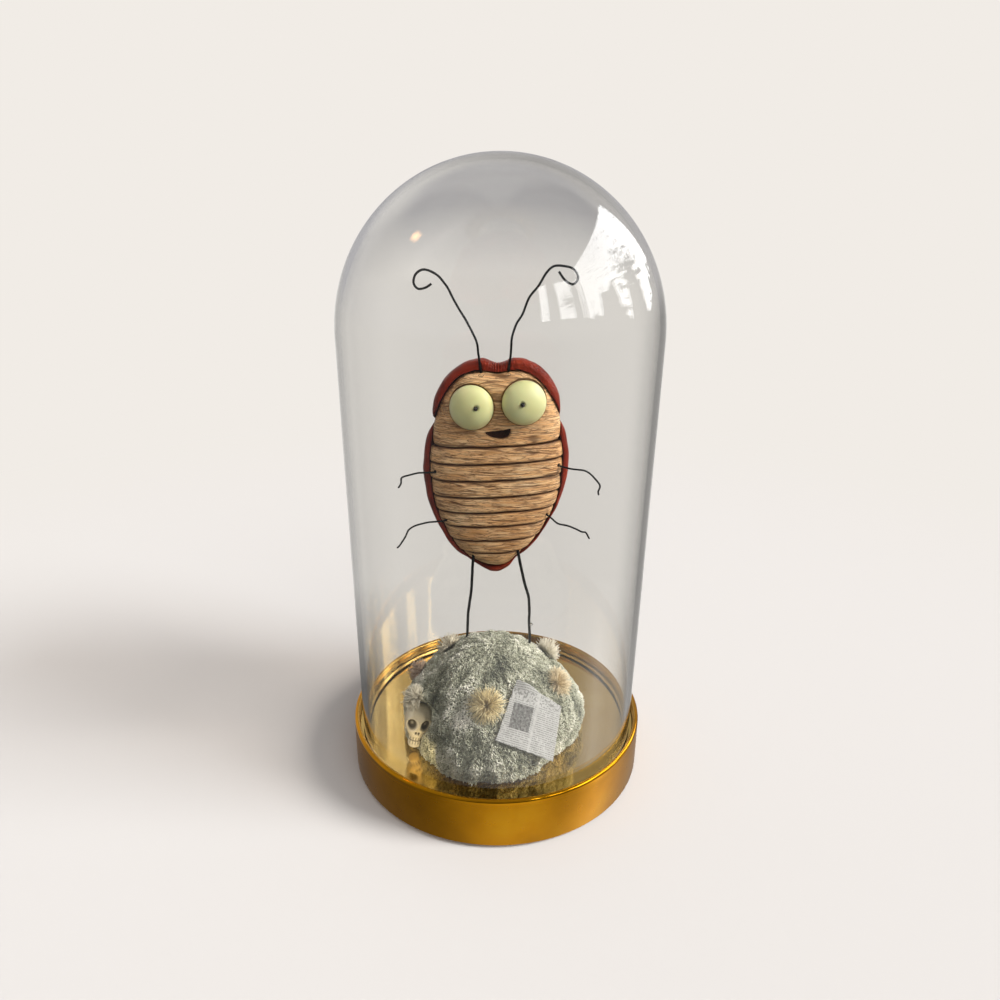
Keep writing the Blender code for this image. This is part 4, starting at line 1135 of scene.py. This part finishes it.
def make_tufts():
    """Tufts of fibres that fan out from a small root, the longest of them a little past the tuft's solid."""
    rng = np.random.default_rng(5)
    for number, (place, radius, height, root, tip) in enumerate(TUFTS, 1):
        away = (place - MOUND_CENTRE).normalized()
        side = away.cross(Vector((0, 0, 1))).normalized()
        other = away.cross(side)
        aim = Vector((away.x / MOUND_RADII.x, away.y / MOUND_RADII.y, away.z / MOUND_RADII.z))
        sunk = max((mound_point(aim, -0.3) - place).dot(away), 0.0)
        roots, aims, lengths, bends = [], [], [], []
        for index in range(FIBRES):
            turn = rng.uniform(0, 2 * math.pi)
            spread = math.radians(89) * rng.uniform(0, 1) ** 0.5
            outward = side * math.cos(turn) + other * math.sin(turn)
            aim = away * math.cos(spread) + outward * math.sin(spread)
            aside = radius * 0.22 * math.sqrt(rng.uniform())
            up, out = math.cos(spread), math.sin(spread)
            a = (up / height) ** 2 + (out / radius) ** 2
            b = sunk * up / height**2 + aside * out / radius**2
            c = (sunk / height) ** 2 + (aside / radius) ** 2 - 1
            reach = (math.sqrt(max(b * b - a * c, 0)) - b) / a
            roots.append((place + outward * aside + away * sunk)[:])
            aims.append(aim[:])
            lengths.append(max(reach, 0.62 * radius) * rng.uniform(0.85, 1.36))
            bends.append((Vector(rng.normal(size=3)) * 0.30)[:])
        template = bmesh.new()
        bmesh.ops.create_cone(template, segments=3, radius1=1, radius2=0.75, depth=1, cap_ends=True)
        bmesh.ops.translate(template, vec=(0, 0, 0.5), verts=template.verts)
        upright = [edge for edge in template.edges if abs(edge.verts[0].co.z - edge.verts[1].co.z) > 0.5]
        bmesh.ops.subdivide_edges(template, edges=upright, cuts=3)
        bmesh.ops.triangulate(template, faces=template.faces)
        template.verts.index_update()
        planted(
            f"static_grass_{number}", template, np.array(roots), np.array(aims), np.array(lengths),
            np.full(FIBRES, FIBRE_WIDTH), np.array(bends), rng.uniform(0.35, 0.95, FIBRES),
            straw(f"grass_{number}", root, tip), "grass", f"grass_tuft_{number}")


# Small things on the mound

def make_skull():
    """A skull bead, with sunk eye sockets, nostrils and a row of teeth."""
    top = SKULL_SECTIONS[-1][0]

    def place(u, v):
        z = top * v
        half, front, back = hermite(SKULL_SECTIONS, z)
        draw = max(rounding(z, 0.8), rounding(top - z, 2.2) * 0.9)
        angle = 2 * math.pi * u
        x = (half - draw) * math.cos(angle)
        y = (front + back) / 2 + ((back - front) / 2 - draw) * math.sin(angle)
        wash_and_shade = 0.0
        if y < 0:
            for mid_x, mid_z, wide, tall in SOCKETS:
                off = math.hypot((x - mid_x) / wide, (z - mid_z) / tall)
                y += 2.6 * smooth(1.05, 0.55, off)
                y -= 0.28 * math.exp(-((off - 1.2) / 0.16) ** 2)
                wash_and_shade = max(wash_and_shade, 0.95 * smooth(1.0, 0.7, off) - 0.35 * smooth(0.4, 0.1, off))
            for mid_x, mid_z, wide, tall in NOSTRILS:
                off = math.hypot((x - mid_x) / wide, (z - mid_z) / tall)
                y += 0.9 * smooth(1.1, 0.5, off)
                wash_and_shade = max(wash_and_shade, 0.9 * smooth(1.1, 0.6, off))
            bite = math.exp(-((z - TEETH_Z) / 0.22) ** 2)
            gaps = smooth(0.82, 0.98, abs(math.cos(x * 2.6))) * smooth(2.0, 1.2, abs(z - TEETH_Z))
            y += 0.35 * bite + 0.28 * gaps
            wash_and_shade = max(wash_and_shade, 0.8 * bite, 0.65 * gaps)
        crack = noise.noise(Vector((x, y, z)) / 2.5)
        return Vector((x, y, z)) + Vector((x, y, 0)).normalized() * 0.12 * crack, min(wash_and_shade, 1.0)

    bm = skin(120, 130, place)
    bm.transform(skull_placing())
    piece("skull_bead", bm, ivory(), "ivory", "skull")


def make_paper():
    """A torn scrap laid over the mound, a little crumpled, with one corner folded forward."""
    right, up, normal = paper_axes()
    bm = bmesh.new()
    layer = bm.verts.layers.float_vector.new("sheet")
    bmesh.ops.create_grid(bm, x_segments=PAPER_CELLS, y_segments=PAPER_CELLS, size=0.5)
    for vert in bm.verts:
        u = vert.co.x + 0.5
        v = vert.co.y + 0.5
        torn_u = 0.35 * wave(v * 14, 3.0 if u > 0.5 else 9.0, 0) * smooth(0.8, 1.0, abs(2 * u - 1))
        torn_v = 0.40 * wave(u * 14, 5.0 if v > 0.5 else 7.0, 0) * smooth(0.8, 1.0, abs(2 * v - 1))
        low = PAPER_LOW_CORNERS[0].lerp(PAPER_LOW_CORNERS[1], u)
        high = PAPER_HIGH_CORNERS[0].lerp(PAPER_HIGH_CORNERS[1], u)
        flat = low.lerp(high, v) + Vector((torn_u, torn_v))
        curl = 1.8 * smooth(0.80, 1.0, v) * smooth(0.34, 0.0, abs(u - 0.20))
        crease = 0.30 * wave(flat.x / 5, flat.y / 5, 0) + 0.12 * noise.noise(flat.to_3d() / 1.6)
        lift = -flat.x**2 / (2 * PAPER_BEND_RADIUS) + curl + crease + 0.35
        vert.co = PAPER_CENTRE + right * flat.x + up * (flat.y + 0.4 * curl) + normal * lift
        vert[layer] = (flat.x, flat.y, 0)
    bmesh.ops.recalc_face_normals(bm, faces=bm.faces)
    made = piece("newsprint_scrap", bm, newsprint(), "newsprint", "newspaper_scrap")
    wall = made.modifiers.new("sheet", "SOLIDIFY")
    wall.thickness = 0.12 * MM
    wall.offset = 0


# Studio

def stage_plane(name, size, matrix, look):
    """A flat card of the stage."""
    bm = bmesh.new()
    bm.loops.layers.uv.new("UVMap")
    bmesh.ops.create_grid(bm, x_segments=1, y_segments=1, size=0.5, calc_uvs=True)
    bmesh.ops.scale(bm, vec=(size[0], size[1], 1), verts=bm.verts)
    bm.transform(matrix)
    mesh = as_mesh(name, bm)
    mesh.materials.append(look.owner)
    made = placed(name, mesh)
    return made


def make_floor():
    """A pale sheet that takes the soft shadow near the tray and melts into the backdrop further out."""
    look = finish("studio_floor", roughness=1.0, specular_ior_level=0.0, base_color=colour("#BFBBB7"))
    reach = look.distance(look.spots["Object"])
    far = look.spread(reach, 0.30, 0.70, interpolation_type="SMOOTHSTEP")
    look.blend(far, look.shader, look.add("Emission", [colour(PAPER_WHITE)]))
    floor = stage_plane("floor", (12, 12), Matrix.Identity(4), look)
    floor.visible_glossy = False
    floor.visible_transmission = False


def make_window(name, turn, reach, width, low, high, bottom, strength):
    """A bright window square on to a direction, for reflections. Its lower edge is broken by foliage.

    Its left and right edges lie at -1 and 1 times the width, low and high are heights for a reach of 1,
    and bottom is how high the foliage stands across it.
    """
    look = finish(name)
    sheet = look.spots["UV"]
    across, up = look.split(sheet)[:2]
    sway = look.math("MULTIPLY_ADD", look.noise(16, 5, sheet), 0.40, -0.20)
    above = look.math("GREATER_THAN", up, look.math("ADD", look.ramp(across, *bottom), sway))
    bush = look.spread(look.distance(sheet, (0.60, 0.42, 0)), 0.06, 0.30, 0.56, 0.36)
    gaps = look.math("GREATER_THAN", look.noise(20, 4, sheet), bush)
    glow = look.add("Emission", [colour("#FFFFFF"), strength])
    look.blend(look.math("MULTIPLY", above, gaps), look.add("BsdfTransparent"), glow)
    facing = Matrix.Rotation(math.radians(turn) + math.pi / 2, 4, "Z") @ Matrix.Rotation(math.pi / 2, 4, "X")
    middle = Vector((0, 0, 0.235 + reach * (low + high) / 2))
    middle += Vector((math.cos(math.radians(turn)), math.sin(math.radians(turn)), 0)) * reach
    size = (2 * width * reach, (high - low) * reach)
    card = stage_plane(name, size, Matrix.Translation(middle) @ facing, look)
    card.visible_camera = False
    card.visible_diffuse = False
    card.visible_shadow = False


def make_lamp_spot():
    """A small warm ceiling lamp to the left, for its reflection in the dome."""
    look = finish("warm_lamp")
    away = look.distance(look.spots["UV"], (0.5, 0.5, 0))
    core = look.spread(away, 0.5, 0.12, interpolation_type="SMOOTHSTEP")
    look.blend(core, look.add("BsdfTransparent"), look.add("Emission", [colour("#FFBE7C"), 12.0]))
    way = Vector((-0.694, -0.013, 0.719))
    turn = way.to_track_quat("Z", "Y").to_matrix().to_4x4()
    place = Matrix.Translation(Vector((0, 0, 0.23)) + way)
    spot = stage_plane("warm_lamp", (0.11, 0.13), place @ turn, look)
    spot.visible_camera = False
    spot.visible_diffuse = False


def make_bounce(name, size, strength, place, turn=Matrix.Identity(4)):
    """Warm light that the polished tray throws back on what stands in it, which the suns don't give."""
    look = finish(name)
    look.put(look.output.inputs["Surface"], look.add("Emission", [colour("#EFD9AE"), strength]))
    place = Matrix.Translation(place) @ turn
    card = stage_plane(name, size, place, look)
    card.visible_camera = False
    card.visible_glossy = False
    card.visible_transmission = False
    card.visible_shadow = False


def make_sun(name, turn, rise, spread, power):
    light = bpy.data.lights.new(name, "SUN")
    light.angle = math.radians(spread)
    light.energy = power
    lamp = placed(name, light)
    turn, rise = math.radians(turn), math.radians(rise)
    way = Vector((math.cos(turn) * math.cos(rise), math.sin(turn) * math.cos(rise), math.sin(rise)))
    lamp.rotation_euler = way.to_track_quat("Z", "Y").to_euler()
    lamp.visible_glossy = False
    lamp.visible_transmission = False


def make_world():
    """A room by direction: pale behind the dome, dim in front, bright to the right where the window is.

    Each belt's ramp runs from -180 degrees at 0, by the front at 0.25, right at 0.5 and back at 0.75.
    """
    world = bpy.data.worlds.new("studio")
    bpy.context.scene.world = world
    look = Look(world, "Background", "World Output")
    x, y, z = look.split(look.spots["Generated"])
    turn = look.math("MULTIPLY_ADD", look.math("ARCTAN2", y, x), 0.5 / math.pi, 0.5)
    level = None
    for low, high, stops in WORLD_BELTS:
        belt = look.ramp(turn, *stops)
        level = look.mix(look.spread(z, low, high), level, belt) if level else belt
    warm = look.mix(1.0, level, colour("#FFFCF8"), blend_type="MULTIPLY")
    look.put(look.shader.inputs[0], warm)
    direct = look.add("LightPath").outputs["Is Camera Ray"]
    look.blend(direct, look.shader, look.add("Background", [colour(PAPER_WHITE)]))


def make_camera():
    back = Vector((0, -math.cos(CAMERA_RISE), math.sin(CAMERA_RISE)))
    level = Vector((1, 0, 0))
    upright = back.cross(level)
    right = level * math.cos(CAMERA_ROLL) + upright * math.sin(CAMERA_ROLL)
    up = upright * math.cos(CAMERA_ROLL) - level * math.sin(CAMERA_ROLL)
    data = bpy.data.cameras.new("camera")
    data.sensor_width = 36
    data.lens = CAMERA_LENS
    data.clip_start = 0.01
    data.clip_end = 50
    camera = placed("camera", data)
    turn = Matrix((right, up, back)).transposed().to_4x4()
    camera.matrix_world = Matrix.Translation(CAMERA_AIM + back * CAMERA_DISTANCE) @ turn
    bpy.context.scene.camera = camera


make_camera()
make_tray()
make_felt()
make_dome()
clay = tan_clay()
varnished = red_clay()
make_head(clay)
make_strips(clay)
make_shell("red_shield", "head_shield", SHIELD_STATIONS, 4.2, 10.5, SHIELD_DIP, varnished)
make_shell("red_wings", "wing_case", WING_STATIONS, 3.0, 9.6, 0.0, varnished)
make_eyes()
make_mouth()
make_wires()
make_glue()
make_mound()
make_flock()
make_tufts()
make_skull()
make_paper()

make_floor()
make_world()
make_window("tall_window", 7.5, 0.8, 0.795, 0.02, 0.99, (
    (0.00, 0.21), (0.17, 0.21), (0.19, 0.42), (0.36, 0.42), (0.38, 0.20), (0.47, 0.09), (0.50, 0.33),
    (0.66, 0.35), (0.69, 0.07), (0.80, 0.07), (0.83, 0.25), (1.00, 0.28)), 4.6)
make_window("near_panes", -47, 0.8, 0.30, 0.19, 0.62, (
    (0.00, 0.0), (0.15, 0.0), (0.17, 1.2), (0.36, 1.2), (0.38, 0.0), (0.68, 0.0), (0.70, 1.2), (0.84, 1.2),
    (0.86, 0.0), (0.89, 0.0), (0.91, 1.2), (0.94, 1.2), (0.95, 0.0)), 4.4)
make_lamp_spot()
make_bounce("floor_bounce", (0.095, 0.095), 0.75, (0, 0, 0.0194))
upright = Matrix.Rotation(math.pi / 2, 4, "X")
make_bounce("wall_bounce", (0.026, 0.012), 3.0, (-0.040, -0.046, 0.027), upright)
make_sun("window_light", -14, 35, 24, 5.5)
make_sun("room_light", -64, 43, 60, 1.5)
bpy.context.scene.view_settings.view_transform = "Standard"
